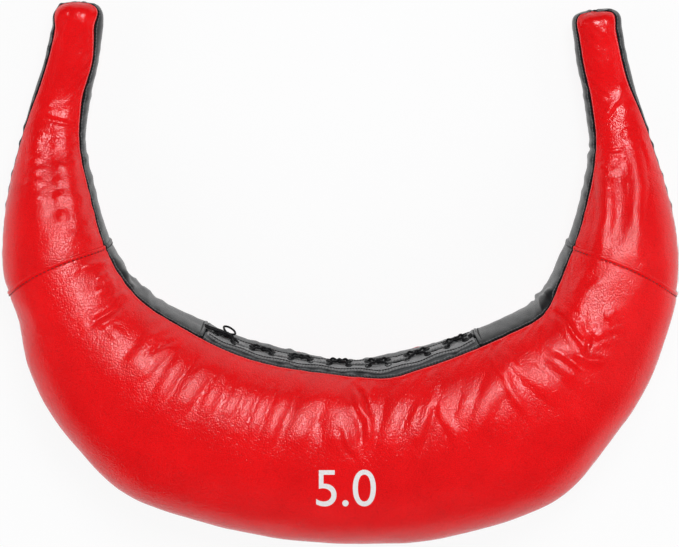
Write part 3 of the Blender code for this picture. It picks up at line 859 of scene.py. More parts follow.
def texture(tree, kind, vector, scale, **settings):
    """A texture node of this kind on a vector; gives the node."""
    node = tree.nodes.new(f"ShaderNodeTex{kind}")
    tree.links.new(vector, node.inputs["Vector"])
    if isinstance(scale, (int, float)):
        node.inputs["Scale"].default_value = scale
    else:
        tree.links.new(scale, node.inputs["Scale"])
    for key, value in settings.items():
        if key in node.inputs:
            node.inputs[key].default_value = value
        else:
            setattr(node, key, value)
    return node


def object_place(tree):
    return tree.nodes.new("ShaderNodeTexCoord").outputs["Object"]


def attribute(tree, name):
    node = tree.nodes.new("ShaderNodeAttribute")
    node.attribute_name = name
    return node.outputs["Fac"]


def use_group(tree, group):
    node = tree.nodes.new("ShaderNodeGroup")
    node.node_tree = group
    return node


def grain_group():
    """Pebbled leather grain: its height, a mask of its furrows, and slow changes in gloss.

    Hands have rubbed it smoother towards the tips of the horns."""
    if found := bpy.data.node_groups.get("leather_grain"):
        return found
    group, entry, leave = make_node_group("leather_grain", {"Pebble Scale": 520.0},
                                          ("Height", "Furrows", "Patches"))
    place = object_place(group)
    wobble = texture(group, "Noise", place, 260.0, Detail=2.0)
    bend = group.nodes.new("ShaderNodeVectorMath")
    bend.operation = "MULTIPLY_ADD"
    group.links.new(wobble.outputs["Color"], bend.inputs[0])
    bend.inputs[1].default_value = (0.0016, 0.0016, 0.0016)
    group.links.new(place, bend.inputs[2])
    bent, scale = bend.outputs[0], entry.outputs["Pebble Scale"]
    cells = texture(group, "Voronoi", bent, scale, feature="DISTANCE_TO_EDGE")
    furrow = maths(group, "SMOOTH_MIN", maths(group, "MULTIPLY", cells.outputs[0], 7.0), 1.0, 0.35)
    away = texture(group, "Voronoi", bent, scale, feature="F1").outputs["Distance"]
    fine = texture(group, "Noise", place, 1500.0, Detail=3.0)
    height = maths(group, "MULTIPLY", furrow, 0.1)
    height = maths(group, "MULTIPLY_ADD", fine.outputs["Fac"], 0.12, height)
    height = maths(group, "MULTIPLY_ADD", maths(group, "MULTIPLY", away, away), -1.2, height)
    split = group.nodes.new("ShaderNodeSeparateXYZ")
    group.links.new(place, split.inputs[0])
    rubbed = maths(group, "MULTIPLY_ADD", split.outputs["Y"], -8.0, 1.8, clamp=True)
    height = maths(group, "MULTIPLY", height, maths(group, "MAXIMUM", rubbed, 0.42))
    broad = texture(group, "Noise", place, 34.0, Detail=4.0)
    group.links.new(height, leave.inputs["Height"])
    group.links.new(maths(group, "SUBTRACT", 1.0, furrow, clamp=True), leave.inputs["Furrows"])
    group.links.new(broad.outputs["Fac"], leave.inputs["Patches"])
    return group


def seam_group():
    """What sewing does beside a seam: scallops, dark stitch holes and a painted highlight along the
    rolled edge.
    """
    if found := bpy.data.node_groups.get("seam_edge"):
        return found
    group, entry, leave = make_node_group("seam_edge", {"Stitch Pitch": 0.0028, "Reach": 0.0016},
                                          ("Height", "Dark", "Painted Highlight"))
    distance, run = attribute(group, "seam_distance"), attribute(group, "seam_run")
    turns = maths(group, "DIVIDE", run, entry.outputs["Stitch Pitch"])
    wave = maths(group, "ABSOLUTE", maths(group, "SINE", maths(group, "MULTIPLY", turns, HALF)))
    near = maths(group, "DIVIDE", distance, entry.outputs["Reach"])
    fade = maths(group, "POWER", 0.5, maths(group, "MULTIPLY", near, near))
    group.links.new(maths(group, "MULTIPLY", wave, fade), leave.inputs["Height"])
    teeth = maths(group, "MULTIPLY_ADD", wave, 1.6, 0.5)
    dark = maths(group, "SUBTRACT", 1.0, maths(group, "MULTIPLY", near, teeth), clamp=True)
    group.links.new(dark, leave.inputs["Dark"])
    # A painted highlight: a pale line just beside the seam that stands for the light on the rolled
    # edge, broken by the stitches
    beside = maths(group, "ABSOLUTE", maths(group, "SUBTRACT", near, 1.35))
    wear_and_highlight = maths(group, "SUBTRACT", 1.0, maths(group, "MULTIPLY", beside, 2.2), clamp=True)
    wear_and_highlight = maths(group, "MULTIPLY", wear_and_highlight, maths(group, "MULTIPLY_ADD", wave, 0.5, 0.5))
    wear_and_highlight = maths(group, "MULTIPLY", wear_and_highlight, maths(group, "SUBTRACT", 1.0, dark))
    group.links.new(wear_and_highlight, leave.inputs["Painted Highlight"])
    return group


def new_material(name):
    """A new material, its node tree and its shader."""
    material = bpy.data.materials.new(name)
    material.use_nodes = True
    tree = material.node_tree
    tree.nodes.clear()
    output = tree.nodes.new("ShaderNodeOutputMaterial")
    shader = tree.nodes.new("ShaderNodeBsdfPrincipled")
    tree.links.new(shader.outputs[0], output.inputs["Surface"])
    return material, tree, shader


def add_bump(tree, shader, height, distance, strength=1.0, base=None):
    """A Bump node on a shader, over another one if there is a base."""
    bump = tree.nodes.new("ShaderNodeBump")
    bump.inputs["Distance"].default_value = distance
    bump.inputs["Strength"].default_value = strength
    tree.links.new(height, bump.inputs["Height"])
    if base is not None:
        tree.links.new(base.outputs[0], bump.inputs["Normal"])
    tree.links.new(bump.outputs[0], shader.inputs["Normal"])
    return bump


def leather(name, colour, shade, roughness, gloss, grain_depth, pebble=680.0, dull_edge=0.0005,
            glance=0.92):
    """Grained leather with darker furrows, slow changes of gloss, and sewn edges with a painted
    highlight beside them.

    shade is the share of its colour left in the dark places. Beside its seams the leather is dull,
    up to dull_edge away, and glance is how much of its gloss it loses where it is seen edgeways."""
    if found := bpy.data.materials.get(name):
        return found
    material, tree, shader = new_material(name)
    colour, dark = list(colour), [shade * c for c in colour]
    grain, seam = use_group(tree, grain_group()), use_group(tree, seam_group())
    grain.inputs["Pebble Scale"].default_value = pebble
    furrows = maths(tree, "MULTIPLY", grain.outputs["Furrows"], 0.35)
    tone = blend_colours(tree, furrows, colour, dark)
    patch = maths(tree, "MULTIPLY_ADD", grain.outputs["Patches"], 0.30, 0.85)
    tone = blend_colours(tree, 1.0, tone, grey_of(tree, patch), "MULTIPLY")
    tone = blend_colours(tree, maths(tree, "MULTIPLY", seam.outputs["Dark"], 0.75), tone, dark)
    # A painted highlight: a paler tone in a thin line beside each seam
    pale = [min(1.0, c + 0.22) for c in colour]
    tone = blend_colours(tree, maths(tree, "MULTIPLY", seam.outputs["Painted Highlight"], 0.6), tone, pale)
    tree.links.new(tone, shader.inputs["Base Color"])
    matt = maths(tree, "MULTIPLY_ADD", grain.outputs["Patches"], 0.10, roughness - 0.05)
    matt = maths(tree, "MULTIPLY_ADD", grain.outputs["Furrows"], 0.12, matt)
    tree.links.new(matt, shader.inputs["Roughness"])
    level = maths(tree, "DIVIDE", attribute(tree, "seam_distance"), dull_edge, clamp=True)
    turned = tree.nodes.new("ShaderNodeLayerWeight").outputs["Facing"]
    turned = maths(tree, "MULTIPLY_ADD", turned, -glance * gloss, gloss)
    level = maths(tree, "MULTIPLY", level, turned)
    tree.links.new(level, shader.inputs["Specular IOR Level"])
    scallop = add_bump(tree, shader, seam.outputs["Height"], 0.0009, 0.8)
    add_bump(tree, shader, grain.outputs["Height"], grain_depth, 1.0, scallop)
    return material


def grey_of(tree, value):
    """A grey colour of this value."""
    node = tree.nodes.new("ShaderNodeCombineColor")
    for socket in node.inputs[:3]:
        tree.links.new(value, socket)
    return node.outputs[0]


def finish_shader(tree, shader, tone, height, depth, roughness, gloss=0.5):
    """Gives a shader its colour, roughness and gloss, and a bump of this depth."""
    tree.links.new(tone, shader.inputs["Base Color"])
    shader.inputs["Roughness"].default_value = roughness
    shader.inputs["Specular IOR Level"].default_value = gloss
    add_bump(tree, shader, height, depth)


def cloth(name, colour, dark, roughness, scale, depth):
    """Plain woven or coated cloth."""
    if found := bpy.data.materials.get(name):
        return found
    material, tree, shader = new_material(name)
    place = object_place(tree)
    waves = [texture(tree, "Wave", place, scale, bands_direction=axis, Distortion=1.5, Detail=1.0)
             for axis in ("X", "Y", "Z")]
    height = maths(tree, "ADD", waves[0].outputs["Fac"], waves[1].outputs["Fac"])
    height = maths(tree, "MULTIPLY_ADD", waves[2].outputs["Fac"], 0.7, height)
    noise = texture(tree, "Noise", place, 90.0, Detail=4.0)
    tone = blend_colours(tree, noise.outputs["Fac"], colour, dark)
    finish_shader(tree, shader, tone, height, depth, roughness)
    return material


def red_leather():
    tones = bpy.context.scene.bag_leather
    return leather("grained_red_leather", tones.red, 0.30, tones.gloss_roughness, tones.gloss,
                   tones.grain_depth)


def black_leather():
    tones = bpy.context.scene.bag_leather
    return leather("grained_black_leather", tones.black, 0.4, 0.30, 0.76, tones.grain_depth * 0.5,
                   dull_edge=0.011, glance=0.3)


def placket_leather():
    tones = bpy.context.scene.bag_leather
    return leather("grey_placket_leather", [2.5 * c for c in tones.black], 0.4, 0.34, 0.6,
                   tones.grain_depth * 0.5, glance=0.3)


def flap_cloth():
    tones = bpy.context.scene.bag_leather
    return leather("grey_flap_leather", tones.flap, 0.4, 0.4, 0.5, tones.grain_depth * 0.4,
                   pebble=700.0, glance=0.3)


def lace_cloth():
    """Braided black cord."""
    if found := bpy.data.materials.get("braided_black_cord"):
        return found
    material, tree, shader = new_material("braided_black_cord")
    place = object_place(tree)
    first = texture(tree, "Wave", place, 420.0, bands_direction="DIAGONAL")
    second = texture(tree, "Wave", place, 420.0, bands_direction="X", Distortion=2.0)
    height = maths(tree, "MULTIPLY", first.outputs["Fac"], second.outputs["Fac"])
    tone = blend_colours(tree, height, (0.003, 0.003, 0.004), (0.016, 0.016, 0.018))
    finish_shader(tree, shader, tone, height, 0.0004, 0.6, 0.3)
    return material


def thread(name):
    """Twisted thread, waxed a little."""
    if found := bpy.data.materials.get(name):
        return found
    tones = bpy.context.scene.bag_leather
    colour = [0.3 * c for c in tones.red] if name == "red_thread" else (0.012, 0.012, 0.013)
    material, tree, shader = new_material(name)
    place = object_place(tree)
    twist = texture(tree, "Wave", place, 900.0, bands_direction="DIAGONAL").outputs["Fac"]
    tone = blend_colours(tree, maths(tree, "MULTIPLY", twist, 0.5), colour,
                         [0.35 * c for c in colour])
    finish_shader(tree, shader, tone, twist, 0.0002, 0.45)
    return material


def dark_metal():
    """Blackened pressed metal with its coating worn at random."""
    if found := bpy.data.materials.get("dark_metal"):
        return found
    material, tree, shader = new_material("dark_metal")
    place = object_place(tree)
    wear_and_highlight = texture(tree, "Noise", place, 700.0, Detail=4.0).outputs["Fac"]
    bare = maths(tree, "MULTIPLY", maths(tree, "SUBTRACT", wear_and_highlight, 0.55, clamp=True), 2.0)
    tone = blend_colours(tree, bare, (0.012, 0.012, 0.013), (0.10, 0.10, 0.10))
    tree.links.new(tone, shader.inputs["Base Color"])
    shader.inputs["Metallic"].default_value = 0.5
    rough = maths(tree, "MULTIPLY_ADD", wear_and_highlight, 0.2, 0.3)
    tree.links.new(rough, shader.inputs["Roughness"])
    return material


def white_print():
    """Thin white ink that follows the leather's grain, a little worn."""
    if found := bpy.data.materials.get("white_ink"):
        return found
    material, tree, shader = new_material("white_ink")
    grain = use_group(tree, grain_group())
    wear_and_highlight = maths(tree, "MULTIPLY", grain.outputs["Furrows"], 0.22)
    tone = blend_colours(tree, wear_and_highlight, (0.80, 0.79, 0.78), (0.62, 0.40, 0.38))
    finish_shader(tree, shader, tone, grain.outputs["Height"], 0.00022, 0.5, 0.4)
    return material


def wadding():
    return cloth("loose_pale_wadding", (0.72, 0.70, 0.65), (0.55, 0.53, 0.48), 0.95, 300.0, 0.0008)


def sand_cloth():
    return cloth("woven_pouch_cloth", (0.32, 0.27, 0.19), (0.20, 0.17, 0.12), 0.85, 700.0, 0.0003)


class BagPrint(bpy.types.PropertyGroup):
    """The number printed on the belly."""

    text: StringProperty(name="Number", description="Plain number on the belly", default="5.0")
    height: FloatProperty(name="Height", description="Height of its figures", default=0.031,
                          min=0.005, unit="LENGTH")
    middle: FloatVectorProperty(name="Middle", size=2, default=(346, 488),
                                description="Where it is on the photograph, in pixels")


class BagLeather(bpy.types.PropertyGroup):
    """Colours and finish of the leather."""

    red: FloatVectorProperty(name="Red", description="Colour of the panels", subtype="COLOR",
                             default=(0.84, 0.004, 0.006), min=0, max=1)
    black: FloatVectorProperty(name="Black", description="Colour of the gussets", subtype="COLOR",
                               default=(0.014, 0.015, 0.016), min=0, max=1)
    flap: FloatVectorProperty(name="Flap", description="Colour of the lacing flaps",
                              subtype="COLOR", default=(0.26, 0.26, 0.26), min=0, max=1)
    gloss_roughness: FloatProperty(name="Roughness", description="Roughness of the red panels",
                                   default=0.14, min=0.05, max=1.0, subtype="FACTOR")
    gloss: FloatProperty(name="Gloss", description="Strength of the red panels' reflections",
                         default=0.48, min=0, max=1, subtype="FACTOR")
    grain_depth: FloatProperty(name="Grain depth", description="Depth of the leather's grain",
                               default=0.00017, min=0, unit="LENGTH")


class BagStage(bpy.types.PropertyGroup):
    """Light and ground."""

    key_width: FloatProperty(name="Key width", description="Side of the square soft light",
                             default=0.74, min=0.05, unit="LENGTH")
    key_power: FloatProperty(name="Key power", description="Power of the soft light", default=26.0,
                             min=0, unit="POWER")
    side_width: FloatProperty(name="Side width", description="Side of the square side lights",
                              default=1.2, min=0.05, unit="LENGTH")
    side_power: FloatProperty(name="Side power", description="Power of a side light at full share",
                              default=12.5, min=0, unit="POWER")
    sky: FloatProperty(name="Sky", description="Brightness of the room", default=0.10, min=0)


class BAG_OT_stage(bpy.types.Operator):
    """Set up the camera, the lights and the white ground"""

    bl_idname = "bag.stage"
    bl_label = "Stage"

    def execute(self, context):
        scene = context.scene
        settings = scene.bag_stage
        data = bpy.data.cameras.new("camera")
        data.sensor_width = SENSOR
        data.lens = FOCAL_PIXELS * data.sensor_width / PHOTO_SIZE[0]
        camera = bpy.data.objects.new("camera", data)
        camera.location = camera_frame()[0]
        camera.rotation_euler = (-CAMERA_TILT, 0, 0)
        scene.collection.objects.link(camera)
        scene.camera = camera
        scene.view_settings.view_transform = "Standard"
        add_area_light("key_light", (0.22, 0.92, 1.85), (0, 0.02, 0.06), settings.key_width,
                       settings.key_power)
        for name, x, y, share in (("left_light", -1.50, -0.10, 0.9),
                                  ("right_light", 1.50, -0.10, 0.9),
                                  ("low_light", 0.0, -1.50, 0.6)):
            lamp = add_area_light(name, (x, y, 0.92), (0, 0, 0.06), settings.side_width,
                                  settings.side_power * share)
            lamp.visible_glossy = False
        add_ground()
        light_room(scene, settings.sky)
        return {"FINISHED"}


def add_area_light(name, place, target, width, power):
    """A square soft light that faces its target."""
    data = bpy.data.lights.new(name, "AREA")
    data.shape = "SQUARE"
    data.size = width
    data.energy = power
    data.color = (0.97, 0.98, 1.0)
    lamp = bpy.data.objects.new(name, data)
    lamp.location = place
    lamp.rotation_euler = (Vector(target) - Vector(place)).to_track_quat("-Z", "Y").to_euler()
    bpy.context.scene.collection.objects.link(lamp)
    return lamp


def add_ground():
    """A wide white floor that shows white to the camera and keeps the bag's soft shadow."""
    ground = bmesh.new()
    bmesh.ops.create_grid(ground, x_segments=1, y_segments=1, size=6.0)
    bmesh.ops.translate(ground, verts=ground.verts, vec=(0, 0, -0.0006))
    material, tree, shader = new_material("white_floor")
    shader.inputs["Base Color"].default_value = (0.80, 0.80, 0.80, 1)
    shader.inputs["Roughness"].default_value = 0.9
    shader.inputs["Specular IOR Level"].default_value = 0.0
    glow = tree.nodes.new("ShaderNodeEmission")
    path = tree.nodes.new("ShaderNodeLightPath")
    seen = path.outputs["Is Camera Ray"]
    for kind in ("Is Glossy Ray", "Is Transmission Ray"):
        seen = maths(tree, "ADD", seen, path.outputs[kind], clamp=True)
    mix = tree.nodes.new("ShaderNodeMixShader")
    tree.links.new(maths(tree, "MULTIPLY", seen, 0.90), mix.inputs[0])
    tree.links.new(shader.outputs[0], mix.inputs[1])
    tree.links.new(glow.outputs[0], mix.inputs[2])
    output = next(n for n in tree.nodes if n.type == "OUTPUT_MATERIAL")
    tree.links.new(mix.outputs[0], output.inputs["Surface"])
    floor = finish_mesh("floor", smooth_mesh("floor", ground), material, "stage")


def light_room(scene, sky):
    """An even pale room."""
    world = bpy.data.worlds.new("room")
    world.use_nodes = True
    tree = world.node_tree
    background = tree.nodes["Background"]
    background.inputs["Color"].default_value = (1, 1, 1, 1)
    seen = tree.nodes.new("ShaderNodeLightPath").outputs["Is Camera Ray"]
    strength = maths(tree, "MULTIPLY_ADD", seen, 1.0 - sky, sky)
    tree.links.new(strength, background.inputs["Strength"])
    scene.world = world


class BAG_OT_body_panels(bpy.types.Operator):
    """Make the front and back leather panels of the body"""

    bl_idname = "bag.body_panels"
    bl_label = "Body panels"

    def execute(self, context):
        for side, edges, grid, shape in (("front", front_edges, FRONT_GRID, front_shape),
                                         ("back", back_edges, BACK_GRID, back_shape)):
            name = f"{side}_body_skin"
            mesh = body_sheet(name, -SEAM_STATION, SEAM_STATION, edges, grid, shape)
            add_piece(name, mesh, red_leather(), f"{side}_body_panel")
        return {"FINISHED"}


class BAG_OT_gussets(bpy.types.Operator):
    """Make the black gussets of the body"""

    bl_idname = "bag.gussets"
    bl_label = "Body gussets"

    def execute(self, context):
        mesh = body_sheet("outer_gusset_skin", -SEAM_STATION, SEAM_STATION, outer_gusset_edges,
                          OUTER_GUSSET_GRID, gusset_shape)
        add_piece("outer_gusset_skin", mesh, black_leather(), "outer_body_gusset")
        for side, prefix in SIDES:
            name = f"{prefix}_inner_gusset"
            mesh = body_sheet(f"{name}_skin", side * lacing_station(), side * SEAM_STATION,
                              inner_gusset_edges, INNER_GUSSET_GRID, gusset_shape)
            add_piece(f"{name}_skin", mesh, black_leather(), name)
        return {"FINISHED"}


def add_horn_piece(name, mesh, material, slot, side, node):
    """A finished piece of a horn, in place of a node."""
    obj = finish_mesh(name, mesh, material)
    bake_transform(obj)
    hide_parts(node)
    return obj


class BAG_OT_horns(bpy.types.Operator):
    """Make the leather and the gussets of both horns"""

    bl_idname = "bag.horns"
    bl_label = "Horns"

    def execute(self, context):
        red, black = (red_leather(), "red_leather"), (black_leather(), "black_leather")
        tuck = SEAM_STATION - CROSS_TUCK * LAST_STATION / WIDTH
        for side, prefix in SIDES:
            stations, places = spread_stations(side * tuck, side * TIP_STATION, HORN_ROWS,
                                               start_hem=False)
            sink = -HORN_SINK * bell(places / HORN_SINK_REACH)
            for part, edges, columns, shape, finish in (
                ("front_panel", front_edges, HORN_FRONT_COLUMNS, front_shape, red),
                ("back_panel", back_edges, HORN_BACK_COLUMNS, back_shape, red),
                ("inner_gusset", inner_gusset_edges, HORN_GUSSET_COLUMNS, gusset_shape, black),
                ("outer_gusset", outer_gusset_edges, HORN_GUSSET_COLUMNS, gusset_shape, black),
            ):
                name = f"{prefix}_horn_{part}"
                mesh = leather_sheet(f"{name}_skin", stations, edges, columns, shape, sink)
                add_horn_piece(f"{name}_skin", mesh, *finish, side, name)
        return {"FINISHED"}


def surface_frame(station, angle, lift=0.0):
    """Points of the bag's surface, raised by lift, and the directions square to it."""
    station, angle = np.broadcast_arrays(np.asarray(station, float), np.asarray(angle, float))
    step = 0.01
    place = bag_surface(station, angle)
    along = bag_surface(station + step, angle) - bag_surface(station - step, angle)
    around = bag_surface(station, angle + step) - bag_surface(station, angle - step)
    core = bag_surface(station, angle, ring=0.0)
    out = turned_out(unit(np.cross(along, around)), place - core)
    return place + out * np.asarray(lift, float)[..., None], out


def wall_frame(station, above_middle, lift=0.0):
    """The same on the inner wall, above or below its middle."""
    station, above_middle = np.broadcast_arrays(np.asarray(station, float), above_middle)
    return surface_frame(station, Sections(station).wall_angle(above_middle), lift)


def rows_at(places, lengths, rows):
    """Points or directions at places along a path, from those at the lengths along it."""
    return np.stack([np.interp(places, lengths, rows[:, k]) for k in range(3)], -1)


def smooth_path(points, spacing):
    """The points of a smooth curve through these, an even length apart."""
    points = np.asarray(points, float)
    ends = np.vstack([2 * points[0] - points[1], points, 2 * points[-1] - points[-2]])
    t = np.linspace(0, 1, 12, endpoint=False)[:, None]
    dense = [curve_between(*stops, t) for stops in zip(ends, ends[1:], ends[2:], ends[3:])]
    dense = np.vstack([*dense, points[-1:]])
    lengths = lengths_along(dense)
    places = np.linspace(0, lengths[-1], max(3, int(lengths[-1] / spacing) + 1))
    return rows_at(places, lengths, dense)


def cord_rings(path, radius, sides=10, flat=1.0, out=None):
    """Rings round a path, with rounded ends; flat is its height as a share of its width."""
    path = np.asarray(path, float)
    along = unit(np.gradient(path, axis=0))
    if out is None:
        out = np.cross(along, [0.3, 0.5, 0.81])
    out = unit(out - along * np.sum(out * along, 1)[:, None])
    across = np.cross(along, out)
    turn = np.linspace(0, TURN, sides, endpoint=False)
    cosine, sine = np.cos(turn)[None, :, None], np.sin(turn)[None, :, None]
    ring = cosine * across[:, None] + sine * out[:, None] * flat
    radius = np.broadcast_to(radius, len(path))
    body = path[:, None] + ring * radius[:, None, None]
    caps = ((0.55, 0.83), (0.9, 0.44))
    start = [path[:1, None] - along[:1, None] * radius[0] * far + ring[:1] * radius[0] * wide
             for far, wide in reversed(caps)]
    end = [path[-1:, None] + along[-1:, None] * radius[-1] * far + ring[-1:] * radius[-1] * wide
           for far, wide in caps]
    return np.concatenate([*start, body, *end])


def cord_mesh(name, paths):
    """One mesh of several cords, each a path, a radius and what cord_rings may take beside them."""
    whole = bmesh.new()
    for number, (path, radius, extra) in enumerate(paths):
        part = ring_mesh(f"{name}_{number}", cord_rings(path, radius, **extra))
        whole.from_mesh(part)
        bpy.data.meshes.remove(part)
    return smooth_mesh(name, whole)


def add_stitches(target, path, out, pitch=0.0032, length=0.0024, width=0.00055):
    """Sews thread along a path, out of the surface: one small rounded dash after another."""
    lengths = lengths_along(path)
    count = int(lengths[-1] / pitch)
    middles = (np.arange(count) + 0.5) * lengths[-1] / max(count, 1)
    for middle in middles:
        ends = [rows_at(middle + k * pitch / 4, lengths, path) for k in (-1, 1)]
        way = unit(ends[1] - ends[0])
        square = rows_at(middle, lengths, out)
        square = unit(square - way * (square @ way))
        side = np.cross(square, way)
        axes = (side * width, square * width * 0.8, way * length / 2)
        matrix = Matrix(axes).transposed().to_4x4()
        matrix.translation = (ends[0] + ends[1]) / 2
        bmesh.ops.create_uvsphere(target, u_segments=6, v_segments=5, radius=1.0, matrix=matrix)


def stitch_mesh(name, rows):
    """One mesh of several rows of stitches, each a path, its outward directions and its sizes."""
    target = bmesh.new()
    for path, out, extra in rows:
        add_stitches(target, path, out, **extra)
    bmesh.ops.recalc_face_normals(target, faces=target.faces)
    return smooth_mesh(name, target)


def placket_edges(side):
    """The edges of one placket, from its seam to the slit."""
    def edges(station):
        front, back = inner_gusset_edges(station)
        slit = Sections(station).wall_angle(slit_level(station) + side * PLACKET_SLIT / 3)
        return (front, slit) if side > 0 else (slit, back)
    return edges


def flap_wave(station):
    """Where the lace pulls a flap towards the slit: 1 at each pair of eyelets, -1 between."""
    (start, end), (following, _) = lace_stations()[:2]
    return np.cos(TURN * (station - (start + end) / 2) / (following - start))


def flap_edges(side):
    """The edges of one flap, from its hem to beside the slit."""
    def edges(station):
        section, slit = Sections(station), slit_level(station)
        wave = flap_wave(station) * FLAP_WAVE
        near = section.wall_angle(slit + side * (FLAP_FROM_SLIT - 0.6 * wave))
        far = section.wall_angle(slit + side * (FLAP_TO_HEM + wave))
        return (far, near) if side > 0 else (near, far)
    return edges


def flap_shape(base, from_low, from_high, run):
    """A flap that puffs up between its eyelets."""
    middle = np.minimum(from_low, from_high) / 0.006
    return 0.0009 * np.clip(middle, 0, 1) ** 0.7 + ripple(base, 0.0004, 0.020, 0.007, 31)


def lace_stations():
    """The first and last station of each crossing of the lace, from left to right."""
    end = lacing_station()
    margin = end * LACE_END_MARGIN / LACING_HALF_LENGTH
    pitch = 2 * (end - margin) / (2 * LACE_CROSSINGS - 1)
    places = [-end + margin + pitch * step for step in range(2 * LACE_CROSSINGS)]
    return list(zip(places[0::2], places[1::2]))


def lace_path(side, over):
    """One strand of the lace, which crosses to the other side between each pair of eyelets."""
    rest = FLAP_LIFT + LACE_REST + LACE_RADIUS
    back = tuple((-share, -level, lift) for share, level, lift in reversed(LACE_WAY))
    stops = []
    for start, end in lace_stations():
        middle, half = (start + end) / 2, (end - start) / 2
        top = LACE_RADIUS * (1.15 if over > 0 else -0.75)
        for share, level, lift in (*back, (0.0, 0.0, top), *LACE_WAY):
            stops.append((middle + share * half, -side * level * EYELET_HEIGHT, rest + lift))
        side, over = -side, -over
    station, above, lift = (np.array(column) for column in zip(*stops))
    return wall_frame(station, slit_level(station) + above, lift)[0]


